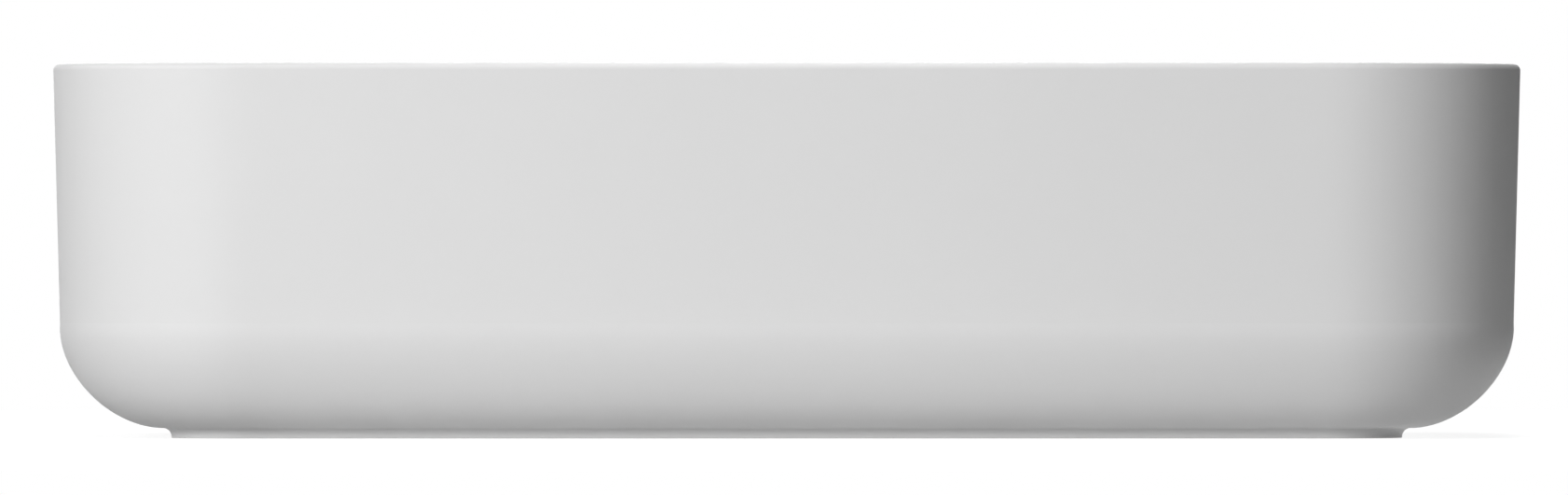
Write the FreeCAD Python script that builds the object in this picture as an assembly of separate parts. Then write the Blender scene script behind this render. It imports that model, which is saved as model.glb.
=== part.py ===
"""Countertop basin: a thin-walled ceramic bowl on a recessed foot, with its push-to-open waste.

Millimetres. Z is up, X runs along the width and the front faces -Y. The origin is on the worktop,
at the middle of the foot. The plug is modelled open, which is where its spring holds it.
"""

import FreeCAD
import Part
import math
import os

from FreeCAD import Vector

# Ceramic, outside
WIDTH = 550.0
DEPTH = 380.0
HEIGHT = 140.0
PLAN_RADIUS = 72.0
DRAFT_DEG = 1.5
RIM_ROUND = 1.6
TURN_HEIGHT = 41.0
TURN_FULLNESS = 0.58
FOOT_INSET = 44.3
FOOT_HEIGHT = 3.6
FOOT_LAND = 0.4
FOOT_FILLET = 3.2
FOOT_WIDTH = 12.0

# Ceramic, inside and below
WALL = 7.0
BOWL_ROUND = 38.0
FLOOR_RISE = 42.0
FLOOR_SLOPE_DEG = 1.5
FLOOR_THICK = 11.0
SHELL = 9.0
HOLLOW_ROUND = 8.0
MOUTH_ROUND = 3.0

# Drain in the ceramic
DRAIN_CLEARANCE = 2.0
SEAT_MARGIN = 2.0
SEAT_DEPTH = 4.5
SEAT_ROUND = 1.5
BOSS_THICK = 12.0
BOSS_MARGIN = 4.0
BOSS_ROUND = 1.5

# Waste body: flange, seat for the plug, tail, and the bridge that holds the cartridge
THREAD_DIAMETER = 41.91
TAIL_WALL = 2.4
TAIL_LIFT = 1.0
TAIL_CHAMFER = 1.0
RELIEF_WIDTH = 1.0
RELIEF_DEPTH = 0.6
FLANGE_DIAMETER = 64.0
FLANGE_EDGE = 1.6
FLANGE_CROWN = 3.0
PLUG_SEAT_FLARE = 4.5
BRIDGE_LIFT = 1.0
BRIDGE_HEIGHT = 4.5
BRIDGE_ARMS = 3
BRIDGE_ARM_WIDTH = 3.2
HUB_DIAMETER = 14.0

# Seals, washer and nut that clamp the waste to the ceramic
FLANGE_SEAL_THICK = 1.5
FLANGE_SEAL_MARGIN = 1.0
LOWER_SEAL_THICK = 3.0
LOWER_SEAL_DIAMETER = 62.0
SEAL_NOSE = 3.0
SEAL_NOSE_TIP = 0.7
SLIP_WASHER_THICK = 1.5
SLIP_WASHER_DIAMETER = 60.0
NUT_FLATS = 55.0
NUT_THICK = 8.0
NUT_CHAMFER_DEG = 30.0
THREAD_CLEARANCE = 0.05
RING_CLEARANCE = 0.2
NOSE_CLEARANCE = 0.3

# Push cartridge
TRAVEL = 8.5
SLEEVE_DIAMETER = 15.0
SLEEVE_WALL = 1.2
SLEEVE_FLOOR = 1.5
SLEEVE_TOP_GAP = 1.0
SPIGOT_DIAMETER = 8.0
SLEEVE_NUT_FLATS = 13.0
SLEEVE_NUT_THICK = 3.0
PISTON_CLEARANCE = 0.05
RING_THICK = 1.0
RING_GROOVE = 0.6
RING_LIP = 1.0
RING_STEM_GAP = 0.5
RING_OPENING = 3.0
BUSH_THICK = 2.0
STEM_DIAMETER = 9.6
PISTON_CROWN = 3.0
SPRING_WIRE = 0.8
SPRING_TURNS = 6
SPRING_CLEARANCE = 0.3
SPRING_END_GAP = 0.1
PIN_DIAMETER = 1.5
PIN_REACH = 1.6
PIN_LIFT = 1.2
PIN_CLEARANCE = 0.15
PIN_RECESS = 0.1

# Plug
STUD_DIAMETER = 8.0
STUD_BITE = 3.0
CARRIER_CLEARANCE = 1.4
CARRIER_THICK = 2.4
CARRIER_NECK_DIAMETER = 18.0
CARRIER_LIP = 0.8
CARRIER_LIP_REACH = 1.6
PLUG_SEAL_THICK = 2.6
PLUG_SEAL_CLEARANCE = 0.15
LOCKNUT_FLATS = 13.0
LOCKNUT_THICK = 3.0
CAP_DIAMETER = 62.0
CAP_EDGE = 2.4
CAP_DOME = 6.2
CAP_SKIN = 2.0
CAP_BOSS_DIAMETER = 16.0
CAP_SHUT_GAP = 0.5
CAP_EDGE_ROUND = 0.8

# How far cutting tools run past what they cut, and how close a point has to lie to count as there
OVERCUT = 5.0
NEAR = 0.01

# Arcs that follow one turn of the spring, and the points of each that its gap is measured on
ARCS_PER_TURN = 8
POINTS_PER_ARC = 4

UP = Vector(0, 0, 1)
ORIGIN = Vector(0, 0, 0)
DRAFT = math.radians(DRAFT_DEG)
FLOOR_SLOPE = math.tan(math.radians(FLOOR_SLOPE_DEG))

# Centre of the rounded plan corner at the back right
CORNER_X = WIDTH / 2 - PLAN_RADIUS
CORNER_Y = DEPTH / 2 - PLAN_RADIUS

# Radii shared by pieces that fit together
THREAD_R = THREAD_DIAMETER / 2
TAIL_BORE_R = THREAD_R - TAIL_WALL
FLANGE_R = FLANGE_DIAMETER / 2
PLUG_SEAT_R = TAIL_BORE_R + PLUG_SEAT_FLARE
DRAIN_R = THREAD_R + DRAIN_CLEARANCE
SEAT_R = FLANGE_R + SEAT_MARGIN
BOSS_R = SEAT_R + BOSS_MARGIN
SLEEVE_R = SLEEVE_DIAMETER / 2
SLEEVE_BORE_R = SLEEVE_R - SLEEVE_WALL
RING_GROOVE_R = SLEEVE_BORE_R + RING_GROOVE
PISTON_R = SLEEVE_BORE_R - PISTON_CLEARANCE
SPIGOT_R = SPIGOT_DIAMETER / 2
STEM_R = STEM_DIAMETER / 2
STUD_R = STUD_DIAMETER / 2
PIN_R = PIN_DIAMETER / 2
PIN_TIP_R = SLEEVE_BORE_R - PIN_REACH
SPRING_BORE_R = PIN_TIP_R - SPRING_WIRE
NECK_R = CARRIER_NECK_DIAMETER / 2

# Levels of the waste, from the drain seat up to the flange and down to the tail's end
SEAT_Z = FLOOR_RISE - SEAT_DEPTH
FLANGE_Z = SEAT_Z + FLANGE_SEAL_THICK
FLANGE_TOP_Z = FLANGE_Z + FLANGE_CROWN
BOSS_Z = SEAT_Z - BOSS_THICK
LOWER_SEAL_Z = BOSS_Z - LOWER_SEAL_THICK
SLIP_WASHER_Z = LOWER_SEAL_Z - SLIP_WASHER_THICK
NUT_Z = SLIP_WASHER_Z - NUT_THICK
RELIEF_Z = NUT_Z - RELIEF_WIDTH
SLEEVE_NUT_Z = TAIL_LIFT + BRIDGE_LIFT
BRIDGE_Z = SLEEVE_NUT_Z + SLEEVE_NUT_THICK
BRIDGE_TOP_Z = BRIDGE_Z + BRIDGE_HEIGHT

# Levels of the plug as modelled, which is open: TRAVEL above where its seal meets the seat
SEAL_Z = FLANGE_TOP_Z - PLUG_SEAT_FLARE / 2 + TRAVEL
SHOULDER_Z = SEAL_Z - CARRIER_THICK
CARRIER_TOP_Z = SEAL_Z + PLUG_SEAL_THICK + CARRIER_LIP
CAP_BOSS_Z = CARRIER_TOP_Z + LOCKNUT_THICK
CAP_EDGE_Z = FLANGE_TOP_Z + CAP_SHUT_GAP + TRAVEL
CAP_TOP_Z = CAP_EDGE_Z + CAP_EDGE + CAP_DOME

# Levels in the cartridge
SLEEVE_FLOOR_Z = BRIDGE_TOP_Z + SLEEVE_FLOOR
SLEEVE_TOP_Z = SHOULDER_Z - TRAVEL - SLEEVE_TOP_GAP
RING_Z = SLEEVE_TOP_Z - RING_LIP - RING_THICK
BUSH_Z = RING_Z - BUSH_THICK
PISTON_TOP_Z = BUSH_Z - PISTON_CLEARANCE
PISTON_BOTTOM_Z = SLEEVE_FLOOR_Z + TRAVEL + PISTON_CLEARANCE
SPRING_TOP_Z = PISTON_TOP_Z - PISTON_CROWN
PIN_Z = PISTON_BOTTOM_Z + PIN_LIFT


def line(start, end):
    return Part.LineSegment(start, end).toShape()


def arc(start, middle, end):
    return Part.Arc(start, middle, end).toShape()


def conic(start, corner, end, fullness):
    """An edge that leaves start towards corner and arrives at end from corner."""
    curve = Part.BezierCurve()
    curve.setPoles([start, corner, end])
    curve.setWeight(2, fullness)
    return curve.toShape()


def on_circle(centre, radius, angle_deg):
    """The point of a circle in the X-Z plane, at an angle above +X."""
    angle = math.radians(angle_deg)
    return centre + Vector(radius * math.cos(angle), 0, radius * math.sin(angle))


def crown_arc(top, edge):
    """An arc that starts level at top and comes down to edge; both are (radius, height)."""
    run = edge[0] - top[0]
    drop = top[1] - edge[1]
    radius = (run ** 2 + drop ** 2) / (2 * drop)
    centre = Vector(top[0], 0, top[1] - radius)
    half_turn = math.degrees(math.asin(run / radius)) / 2
    return arc(Vector(top[0], 0, top[1]), on_circle(centre, radius, 90 - half_turn), Vector(edge[0], 0, edge[1]))


def turned(outline):
    """A solid turned about Z from a closed outline of (radius, height) points and curved edges."""
    chain = []
    for item in outline:
        if isinstance(item, tuple):
            point = Vector(item[0], 0, item[1])
            chain.append((point, point, None))
        else:
            chain.append((item.Vertexes[0].Point, item.Vertexes[-1].Point, item))
    edges = []
    for here, following in zip(chain, chain[1:] + chain[:1]):
        if here[2]:
            edges.append(here[2])
        if not here[1].isEqual(following[0], NEAR):
            edges.append(line(here[1], following[0]))
    return Part.Face(Part.Wire(edges)).revolve(ORIGIN, UP, 360)


def tube(inner_radius, outer_radius, bottom, height):
    top = bottom + height
    return turned([(inner_radius, bottom), (outer_radius, bottom), (outer_radius, top), (inner_radius, top)])


def hex_nut(flats, hole_radius, bottom, height, chamfer_deg):
    """A hexagonal nut with its corners turned off at both faces."""
    corner_r = flats / math.sqrt(3)
    corners = [Vector(corner_r, 0, bottom)]
    for _ in range(5):
        corners.append(FreeCAD.Rotation(UP, 60).multVec(corners[-1]))
    prism = Part.Face(Part.makePolygon(corners + corners[:1])).extrude(UP * height)
    drop = (corner_r - flats / 2) * math.tan(math.radians(chamfer_deg))
    top = bottom + height
    blank = turned([
        (hole_radius, bottom), (flats / 2, bottom), (corner_r, bottom + drop),
        (corner_r, top - drop), (flats / 2, top), (hole_radius, top),
    ])
    return prism.common(blank)


def at(inset, height):
    """A profile point: inset is how far in it lies from the widest outline."""
    return Vector(WIDTH / 2 - inset, CORNER_Y, height)


def plan_face(inset, height):
    """The plan, a rectangle with round corners, drawn in by an inset."""
    radius = PLAN_RADIUS - inset
    edges = []
    for quarter, (sign_x, sign_y) in enumerate([(1, 1), (-1, 1), (-1, -1), (1, -1)]):
        centre = Vector(sign_x * CORNER_X, sign_y * CORNER_Y, height)
        turn = [math.radians(90 * quarter + step) for step in (0, 45, 90)]
        bend = [centre + Vector(radius * math.cos(a), radius * math.sin(a), 0) for a in turn]
        if edges:
            edges.append(line(edges[-1].Vertexes[-1].Point, bend[0]))
        edges.append(arc(*bend))
    edges.append(line(edges[-1].Vertexes[-1].Point, edges[0].Vertexes[0].Point))
    return Part.Face(Part.Wire(edges))


def swept(profile):
    """The solid that a profile, drawn from its top to its bottom, sweeps out once round the plan."""
    side = Part.Wire(profile)
    right_corner = Vector(CORNER_X, CORNER_Y, 0)
    left_corner = Vector(-CORNER_X, CORNER_Y, 0)
    back = side.copy()
    back.rotate(right_corner, UP, 90)
    back_end = back.copy()
    back_end.translate(left_corner - right_corner)
    strips = [
        side.extrude(Vector(0, -2 * CORNER_Y, 0)),
        side.revolve(right_corner, UP, 90),
        back.extrude(left_corner - right_corner),
        back_end.revolve(left_corner, UP, 90),
    ]
    faces = []
    for strip in strips:
        opposite = strip.copy()
        opposite.rotate(ORIGIN, UP, 180)
        faces += strip.Faces + opposite.Faces
    for end in (profile[0].Vertexes[0].Point, profile[-1].Vertexes[-1].Point):
        faces.append(plan_face(WIDTH / 2 - end.x, end.z))
    shell = Part.makeShell(faces)
    shell.sewShape()
    solid = Part.makeSolid(shell)
    if solid.Volume < 0:
        solid.reverse()
    return solid


def wall_inset(height):
    """How far in the drafted outer wall stands at a height."""
    widest_z = HEIGHT - RIM_ROUND * (1 + math.sin(DRAFT))
    return RIM_ROUND * (1 - math.cos(DRAFT)) + (widest_z - height) * math.tan(DRAFT)


def outer_block():
    """The basin's outside as a solid block: drafted walls, turned-under edge, recessed foot."""
    rim_centre = at(RIM_ROUND, HEIGHT - RIM_ROUND)
    wall_top = on_circle(rim_centre, RIM_ROUND, -DRAFT_DEG)
    wall_end = at(wall_inset(TURN_HEIGHT), TURN_HEIGHT)
    fillet = min(FOOT_FILLET, FOOT_HEIGHT - FOOT_LAND)
    turn_end = at(FOOT_INSET - fillet, FOOT_HEIGHT)
    turn_corner = Vector(wall_end.x, wall_end.y, turn_end.z)
    fillet_centre = turn_end - Vector(0, 0, fillet)
    fillet_end = at(FOOT_INSET, FOOT_HEIGHT - fillet)
    return swept([
        arc(at(RIM_ROUND, HEIGHT), on_circle(rim_centre, RIM_ROUND, 45), wall_top),
        line(wall_top, wall_end),
        conic(wall_end, turn_corner, turn_end, TURN_FULLNESS),
        arc(turn_end, on_circle(fillet_centre, fillet, 135), fillet_end),
        line(fillet_end, at(FOOT_INSET, 0)),
    ])


def cone_to_level(apex_z, level_z):
    """What lies between the floor's shallow cone and a level plane."""
    reach = WIDTH + DEPTH
    return turned([(0, apex_z), (reach, apex_z + reach * FLOOR_SLOPE), (reach, level_z), (0, level_z)])


def edges_on_cone(solid, apex_z):
    """The edges of a solid that follow the floor's shallow cone."""
    def on_cone(point):
        return abs(point.z - apex_z - math.hypot(point.x, point.y) * FLOOR_SLOPE) < NEAR

    found = []
    for edge in solid.Edges:
        middle = edge.valueAt((edge.FirstParameter + edge.LastParameter) / 2)
        points = [middle] + [vertex.Point for vertex in edge.Vertexes]
        if all(on_cone(point) for point in points):
            found.append(edge)
    return found


def circles(solid, radius, height):
    """The circular edges of a solid that lie round the drain's axis at a radius and height."""
    found = []
    for edge in solid.Edges:
        middle = edge.valueAt((edge.FirstParameter + edge.LastParameter) / 2)
        if abs(math.hypot(middle.x, middle.y) - radius) < NEAR and abs(middle.z - height) < NEAR:
            found.append(edge)
    return found


def bowl_space():
    """The inside of the bowl: walls parallel to the outside, and a floor that falls to the drain."""
    across = WALL / math.cos(DRAFT)
    wall_top_z = HEIGHT - RIM_ROUND * (1 - math.sin(DRAFT))
    wall_top = at(wall_inset(wall_top_z) + across, wall_top_z)
    rim_centre = on_circle(wall_top, RIM_ROUND, -DRAFT_DEG)
    lip = rim_centre + Vector(0, 0, RIM_ROUND)
    base_z = FLOOR_RISE - OVERCUT
    walls = swept([
        line(lip + Vector(0, 0, OVERCUT), lip),
        arc(lip, on_circle(rim_centre, RIM_ROUND, 135), wall_top),
        line(wall_top, at(wall_inset(base_z) + across, base_z)),
    ])
    space = walls.common(cone_to_level(FLOOR_RISE, HEIGHT + 2 * OVERCUT))
    return space.makeFillet(BOWL_ROUND, edges_on_cone(space, FLOOR_RISE))


def hollow_space():
    """The hollow that casting leaves under the bowl, round the drain's boss and open inside the foot."""
    ceiling_z = FLOOR_RISE - FLOOR_THICK
    ledge_z = FOOT_HEIGHT + SHELL
    mouth_inset = FOOT_INSET + FOOT_WIDTH
    turn_start = at(wall_inset(TURN_HEIGHT) + SHELL, TURN_HEIGHT)
    turn_end = at(FOOT_INSET - FOOT_FILLET, ledge_z)
    turn_corner = Vector(turn_start.x, turn_start.y, ledge_z)
    mouth_centre = at(mouth_inset - MOUTH_ROUND, ledge_z - MOUTH_ROUND)
    mouth_top = mouth_centre + Vector(0, 0, MOUTH_ROUND)
    mouth_side = at(mouth_inset, ledge_z - MOUTH_ROUND)
    walls = swept([
        line(Vector(turn_start.x, turn_start.y, HEIGHT), turn_start),
        conic(turn_start, turn_corner, turn_end, TURN_FULLNESS),
        line(turn_end, mouth_top),
        arc(mouth_top, on_circle(mouth_centre, MOUTH_ROUND, 135), mouth_side),
        line(mouth_side, at(mouth_inset, -OVERCUT)),
    ])
    space = walls.common(cone_to_level(ceiling_z, -2 * OVERCUT))
    space = space.makeFillet(HOLLOW_ROUND, edges_on_cone(space, ceiling_z))
    space = space.cut(Part.makeCylinder(BOSS_R, HEIGHT, Vector(0, 0, BOSS_Z)))
    boss_edges = circles(space, BOSS_R, BOSS_Z) + circles(space, BOSS_R, ceiling_z + BOSS_R * FLOOR_SLOPE)
    return space.makeFillet(BOSS_ROUND, boss_edges)


def basin_body():
    body = outer_block().cut(bowl_space()).cut(hollow_space())
    body = body.cut(Part.makeCylinder(SEAT_R, HEIGHT, Vector(0, 0, SEAT_Z)))
    body = body.cut(Part.makeCylinder(DRAIN_R, HEIGHT, Vector(0, 0, BOSS_Z - OVERCUT)))
    return body.makeFillet(SEAT_ROUND, circles(body, SEAT_R, FLOOR_RISE + SEAT_R * FLOOR_SLOPE))


def waste_body():
    """Flange, conical plug seat and threaded tail in one, with a three-armed bridge near the tail's end.

    A shallow relief parts the nut's stretch of the thread from the end that the trap screws onto.
    """
    relief_r = THREAD_R - RELIEF_DEPTH
    shell = turned([
        (TAIL_BORE_R, FLANGE_TOP_Z - PLUG_SEAT_FLARE),
        crown_arc((PLUG_SEAT_R, FLANGE_TOP_Z), (FLANGE_R, FLANGE_Z + FLANGE_EDGE)),
        (FLANGE_R, FLANGE_Z),
        (THREAD_R, FLANGE_Z),
        (THREAD_R, NUT_Z),
        (relief_r, NUT_Z),
        (relief_r, RELIEF_Z),
        (THREAD_R, RELIEF_Z),
        (THREAD_R, TAIL_LIFT + TAIL_CHAMFER),
        (THREAD_R - TAIL_CHAMFER, TAIL_LIFT),
        (TAIL_BORE_R, TAIL_LIFT),
    ])
    arm_end = TAIL_BORE_R + TAIL_WALL / 2
    arm = Part.makeBox(arm_end, BRIDGE_ARM_WIDTH, BRIDGE_HEIGHT, Vector(0, -BRIDGE_ARM_WIDTH / 2, BRIDGE_Z))
    bridge = Part.makeCylinder(HUB_DIAMETER / 2, BRIDGE_HEIGHT, Vector(0, 0, BRIDGE_Z))
    for k in range(BRIDGE_ARMS):
        turned_arm = arm.copy()
        turned_arm.rotate(ORIGIN, UP, 360 * k / BRIDGE_ARMS)
        bridge = bridge.fuse(turned_arm)
    hole = Part.makeCylinder(SPIGOT_R + THREAD_CLEARANCE, BRIDGE_HEIGHT, Vector(0, 0, BRIDGE_Z))
    return shell.fuse(bridge.cut(hole)).removeSplitter()


def flange_seal():
    return tube(THREAD_R + RING_CLEARANCE, FLANGE_R - FLANGE_SEAL_MARGIN, SEAT_Z, FLANGE_SEAL_THICK)


def lower_seal():
    """A rubber ring under the boss, with a tapered nose that centres the tail in the drain hole."""
    inner = THREAD_R + RING_CLEARANCE
    return turned([
        (inner, LOWER_SEAL_Z),
        (LOWER_SEAL_DIAMETER / 2, LOWER_SEAL_Z),
        (LOWER_SEAL_DIAMETER / 2, BOSS_Z),
        (DRAIN_R - NOSE_CLEARANCE, BOSS_Z),
        (inner + SEAL_NOSE_TIP, BOSS_Z + SEAL_NOSE),
        (inner, BOSS_Z + SEAL_NOSE),
    ])


def slip_washer():
    return tube(THREAD_R + RING_CLEARANCE, SLIP_WASHER_DIAMETER / 2, SLIP_WASHER_Z, SLIP_WASHER_THICK)


def backnut():
    return hex_nut(NUT_FLATS, THREAD_R + THREAD_CLEARANCE, NUT_Z, NUT_THICK, NUT_CHAMFER_DEG)


def cartridge_sleeve():
    """A cup that screws into the bridge; a groove near its top takes the retaining ring."""
    cup = turned([
        (0, SLEEVE_NUT_Z),
        (SPIGOT_R, SLEEVE_NUT_Z),
        (SPIGOT_R, BRIDGE_TOP_Z),
        (SLEEVE_R, BRIDGE_TOP_Z),
        (SLEEVE_R, SLEEVE_TOP_Z),
        (SLEEVE_BORE_R, SLEEVE_TOP_Z),
        (SLEEVE_BORE_R, RING_Z + RING_THICK),
        (RING_GROOVE_R, RING_Z + RING_THICK),
        (RING_GROOVE_R, RING_Z),
        (SLEEVE_BORE_R, RING_Z),
        (SLEEVE_BORE_R, SLEEVE_FLOOR_Z),
        (0, SLEEVE_FLOOR_Z),
    ])
    return cup.cut(Part.makeCylinder(PIN_R + THREAD_CLEARANCE, SLEEVE_DIAMETER, Vector(0, 0, PIN_Z), Vector(1, 0, 0)))


def sleeve_locknut():
    return hex_nut(SLEEVE_NUT_FLATS, SPIGOT_R + THREAD_CLEARANCE, SLEEVE_NUT_Z, SLEEVE_NUT_THICK, NUT_CHAMFER_DEG)


def stem_bush():
    """A nylon ring that guides the stem and stops the piston; the retaining ring holds it in."""
    return tube(STEM_R + PISTON_CLEARANCE, PISTON_R, BUSH_Z, BUSH_THICK)


def retaining_ring():
    """A spring ring, open on one side so that it can be squeezed into its groove."""
    outer = RING_GROOVE_R - THREAD_CLEARANCE
    ring = tube(STEM_R + RING_STEM_GAP, outer, RING_Z, RING_THICK)
    opening_corner = Vector(0, -RING_OPENING / 2, RING_Z - OVERCUT)
    return ring.cut(Part.makeBox(outer + OVERCUT, RING_OPENING, RING_THICK + 2 * OVERCUT, opening_corner))


def guide_pin():
    """A pin through the sleeve's wall; its tip runs in the piston's slot."""
    length = SLEEVE_R - PIN_RECESS - PIN_TIP_R
    return Part.makeCylinder(PIN_R, length, Vector(PIN_TIP_R, 0, PIN_Z), Vector(1, 0, 0))


def plunger():
    """Piston, stem and threaded stud in one, bored from below for the spring and slotted for the pin."""
    stud_top = CAP_BOSS_Z + STUD_BITE - THREAD_CLEARANCE
    rod = turned([
        (SPRING_BORE_R, PISTON_BOTTOM_Z),
        (PISTON_R, PISTON_BOTTOM_Z),
        (PISTON_R, PISTON_TOP_Z),
        (STEM_R, PISTON_TOP_Z),
        (STEM_R, SHOULDER_Z),
        (STUD_R, SHOULDER_Z),
        (STUD_R, stud_top),
        (0, stud_top),
        (0, SPRING_TOP_Z),
        (SPRING_BORE_R, SPRING_TOP_Z),
    ])
    slot_half = PIN_R + PIN_CLEARANCE
    slot_start = PIN_TIP_R - PIN_CLEARANCE
    slot_foot = PISTON_BOTTOM_Z - OVERCUT
    slot_height = PIN_Z + TRAVEL + slot_half - slot_foot
    slot = Part.makeBox(PISTON_R, 2 * slot_half, slot_height, Vector(slot_start, -slot_half, slot_foot))
    return rod.cut(slot)


def helix_point(radius, bottom, pitch, turns):
    """A point of the spring's centre line, and the unit direction of the wire there."""
    angle = 2 * math.pi * turns
    point = Vector(radius * math.cos(angle), radius * math.sin(angle), bottom + pitch * turns)
    along = Vector(-radius * math.sin(angle), radius * math.cos(angle), pitch / (2 * math.pi))
    return point, along.normalize()


def tangent_arc(start, corner, end):
    """The arc from start to end whose end tangents meet at corner."""
    chord_middle = (start + end) * 0.5
    half = (end - start).Length / 2
    rise = corner - chord_middle
    sagitta = half * math.tan(math.atan2(rise.Length, half) / 2)
    return arc(start, chord_middle + rise.normalize() * sagitta, end)


def biarc(start, start_way, end, end_way):
    """Two arcs that leave start and arrive at end in the given directions, and meet smoothly between."""
    gap = end - start
    ways = start_way + end_way
    spread = 2 * (1 - start_way.dot(end_way))
    reach = (math.sqrt(gap.dot(ways) ** 2 + spread * gap.dot(gap)) - gap.dot(ways)) / spread
    first_corner = start + start_way * reach
    second_corner = end - end_way * reach
    middle = (first_corner + second_corner) * 0.5
    return [tangent_arc(start, first_corner, middle), tangent_arc(middle, second_corner, end)]


def least_gap(points, per_turn, wire):
    """The smallest clear distance between stretches of a wound wire at least half a turn apart."""
    apart = per_turn // 2
    reach = [(p - q).Length for k, p in enumerate(points) for q in points[k + apart:]]
    return min(reach) - wire


def cartridge_spring():
    """A compression spring between the sleeve's floor and the top of the piston's bore."""
    radius = SPRING_BORE_R - SPRING_CLEARANCE - SPRING_WIRE / 2
    bottom = SLEEVE_FLOOR_Z + SPRING_END_GAP + SPRING_WIRE / 2
    top = SPRING_TOP_Z - SPRING_END_GAP - SPRING_WIRE / 2
    pitch = (top - bottom) / SPRING_TURNS
    steps_per_turn = ARCS_PER_TURN // 2
    last_step = SPRING_TURNS * steps_per_turn
    steps = [helix_point(radius, bottom, pitch, k / steps_per_turn) for k in range(last_step + 1)]
    edges = []
    for (start, start_way), (end, end_way) in zip(steps, steps[1:]):
        edges += biarc(start, start_way, end, end_way)
    section = Part.Wire(Part.Circle(steps[0][0], steps[0][1], SPRING_WIRE / 2).toShape())
    samples = [point for edge in edges for point in edge.discretize(POINTS_PER_ARC + 1)[:-1]]
    gap = least_gap(samples, ARCS_PER_TURN * POINTS_PER_ARC, SPRING_WIRE)
    print("cartridge_spring least gap to itself", round(gap, 2), "mm")
    return Part.Wire(edges).makePipeShell([section], True, False)


def seal_carrier():
    """A spool that the plug's seal is stretched over, clamped between the stem's shoulder and the locknut."""
    hole = STUD_R + THREAD_CLEARANCE
    rim = TAIL_BORE_R - CARRIER_CLEARANCE
    lip = NECK_R + CARRIER_LIP_REACH
    return turned([
        (hole, SHOULDER_Z),
        (rim, SHOULDER_Z),
        (rim, SEAL_Z),
        (NECK_R, SEAL_Z),
        (NECK_R, SEAL_Z + PLUG_SEAL_THICK),
        (lip, SEAL_Z + PLUG_SEAL_THICK),
        (lip, CARRIER_TOP_Z),
        (hole, CARRIER_TOP_Z),
    ])


def plug_seal():
    """A ring whose sloping edge meets the flange's conical seat when the plug is pushed down."""
    inner = NECK_R + THREAD_CLEARANCE
    lower = TAIL_BORE_R + PLUG_SEAT_FLARE / 2 - PLUG_SEAL_CLEARANCE
    return turned([
        (inner, SEAL_Z),
        (lower, SEAL_Z),
        (lower + PLUG_SEAL_THICK, SEAL_Z + PLUG_SEAL_THICK),
        (inner, SEAL_Z + PLUG_SEAL_THICK),
    ])


def cap_locknut():
    return hex_nut(LOCKNUT_FLATS, STUD_R + THREAD_CLEARANCE, CARRIER_TOP_Z, LOCKNUT_THICK, NUT_CHAMFER_DEG)


def plug_cap():
    """A shallow dome with a turned-down edge and a blind boss that screws onto the stud."""
    radius = CAP_DIAMETER / 2
    shoulder_z = CAP_EDGE_Z + CAP_EDGE
    dome = turned([
        crown_arc((0, CAP_TOP_Z), (radius, shoulder_z)),
        (radius, CAP_EDGE_Z),
        (radius - CAP_SKIN, CAP_EDGE_Z),
        (radius - CAP_SKIN, shoulder_z - CAP_SKIN),
        (0, CAP_TOP_Z - CAP_SKIN),
    ])
    dome = dome.makeFillet(CAP_EDGE_ROUND, circles(dome, radius, shoulder_z))
    boss = Part.makeCylinder(CAP_BOSS_DIAMETER / 2, CAP_TOP_Z - CAP_SKIN - CAP_BOSS_Z, Vector(0, 0, CAP_BOSS_Z))
    hole = Part.makeCylinder(STUD_R + THREAD_CLEARANCE, STUD_BITE, Vector(0, 0, CAP_BOSS_Z))
    return dome.fuse(boss).cut(hole).removeSplitter()


PIECES = [
    basin_body, waste_body, flange_seal, lower_seal, slip_washer, backnut,
    cartridge_sleeve, sleeve_locknut, stem_bush, retaining_ring, guide_pin, cartridge_spring,
    plunger, seal_carrier, plug_seal, cap_locknut, plug_cap,
]


def main():
    os.makedirs("parts", exist_ok=True)
    for piece in PIECES:
        (solid,) = piece().Solids
        solid.exportStep(f"parts/{piece.__name__}.step")
        print(piece.__name__, "valid", solid.isValid(), "cm3", round(solid.Volume / 1000, 3))


main()
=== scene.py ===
# %% [markdown]
# # A countertop basin with its push-to-open waste
# The object is a white glazed basin with thin walls, a rounded rectangular plan and a low recessed
# foot. A waste sits in its drain hole: a chromed flange and tail, held by a nut from below, and a
# sprung plug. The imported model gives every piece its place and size. This lesson builds the same pieces
# again with smooth surfaces, softened edges, a real screw thread and proper finishes.

# %% Load the frame
import math

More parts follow.
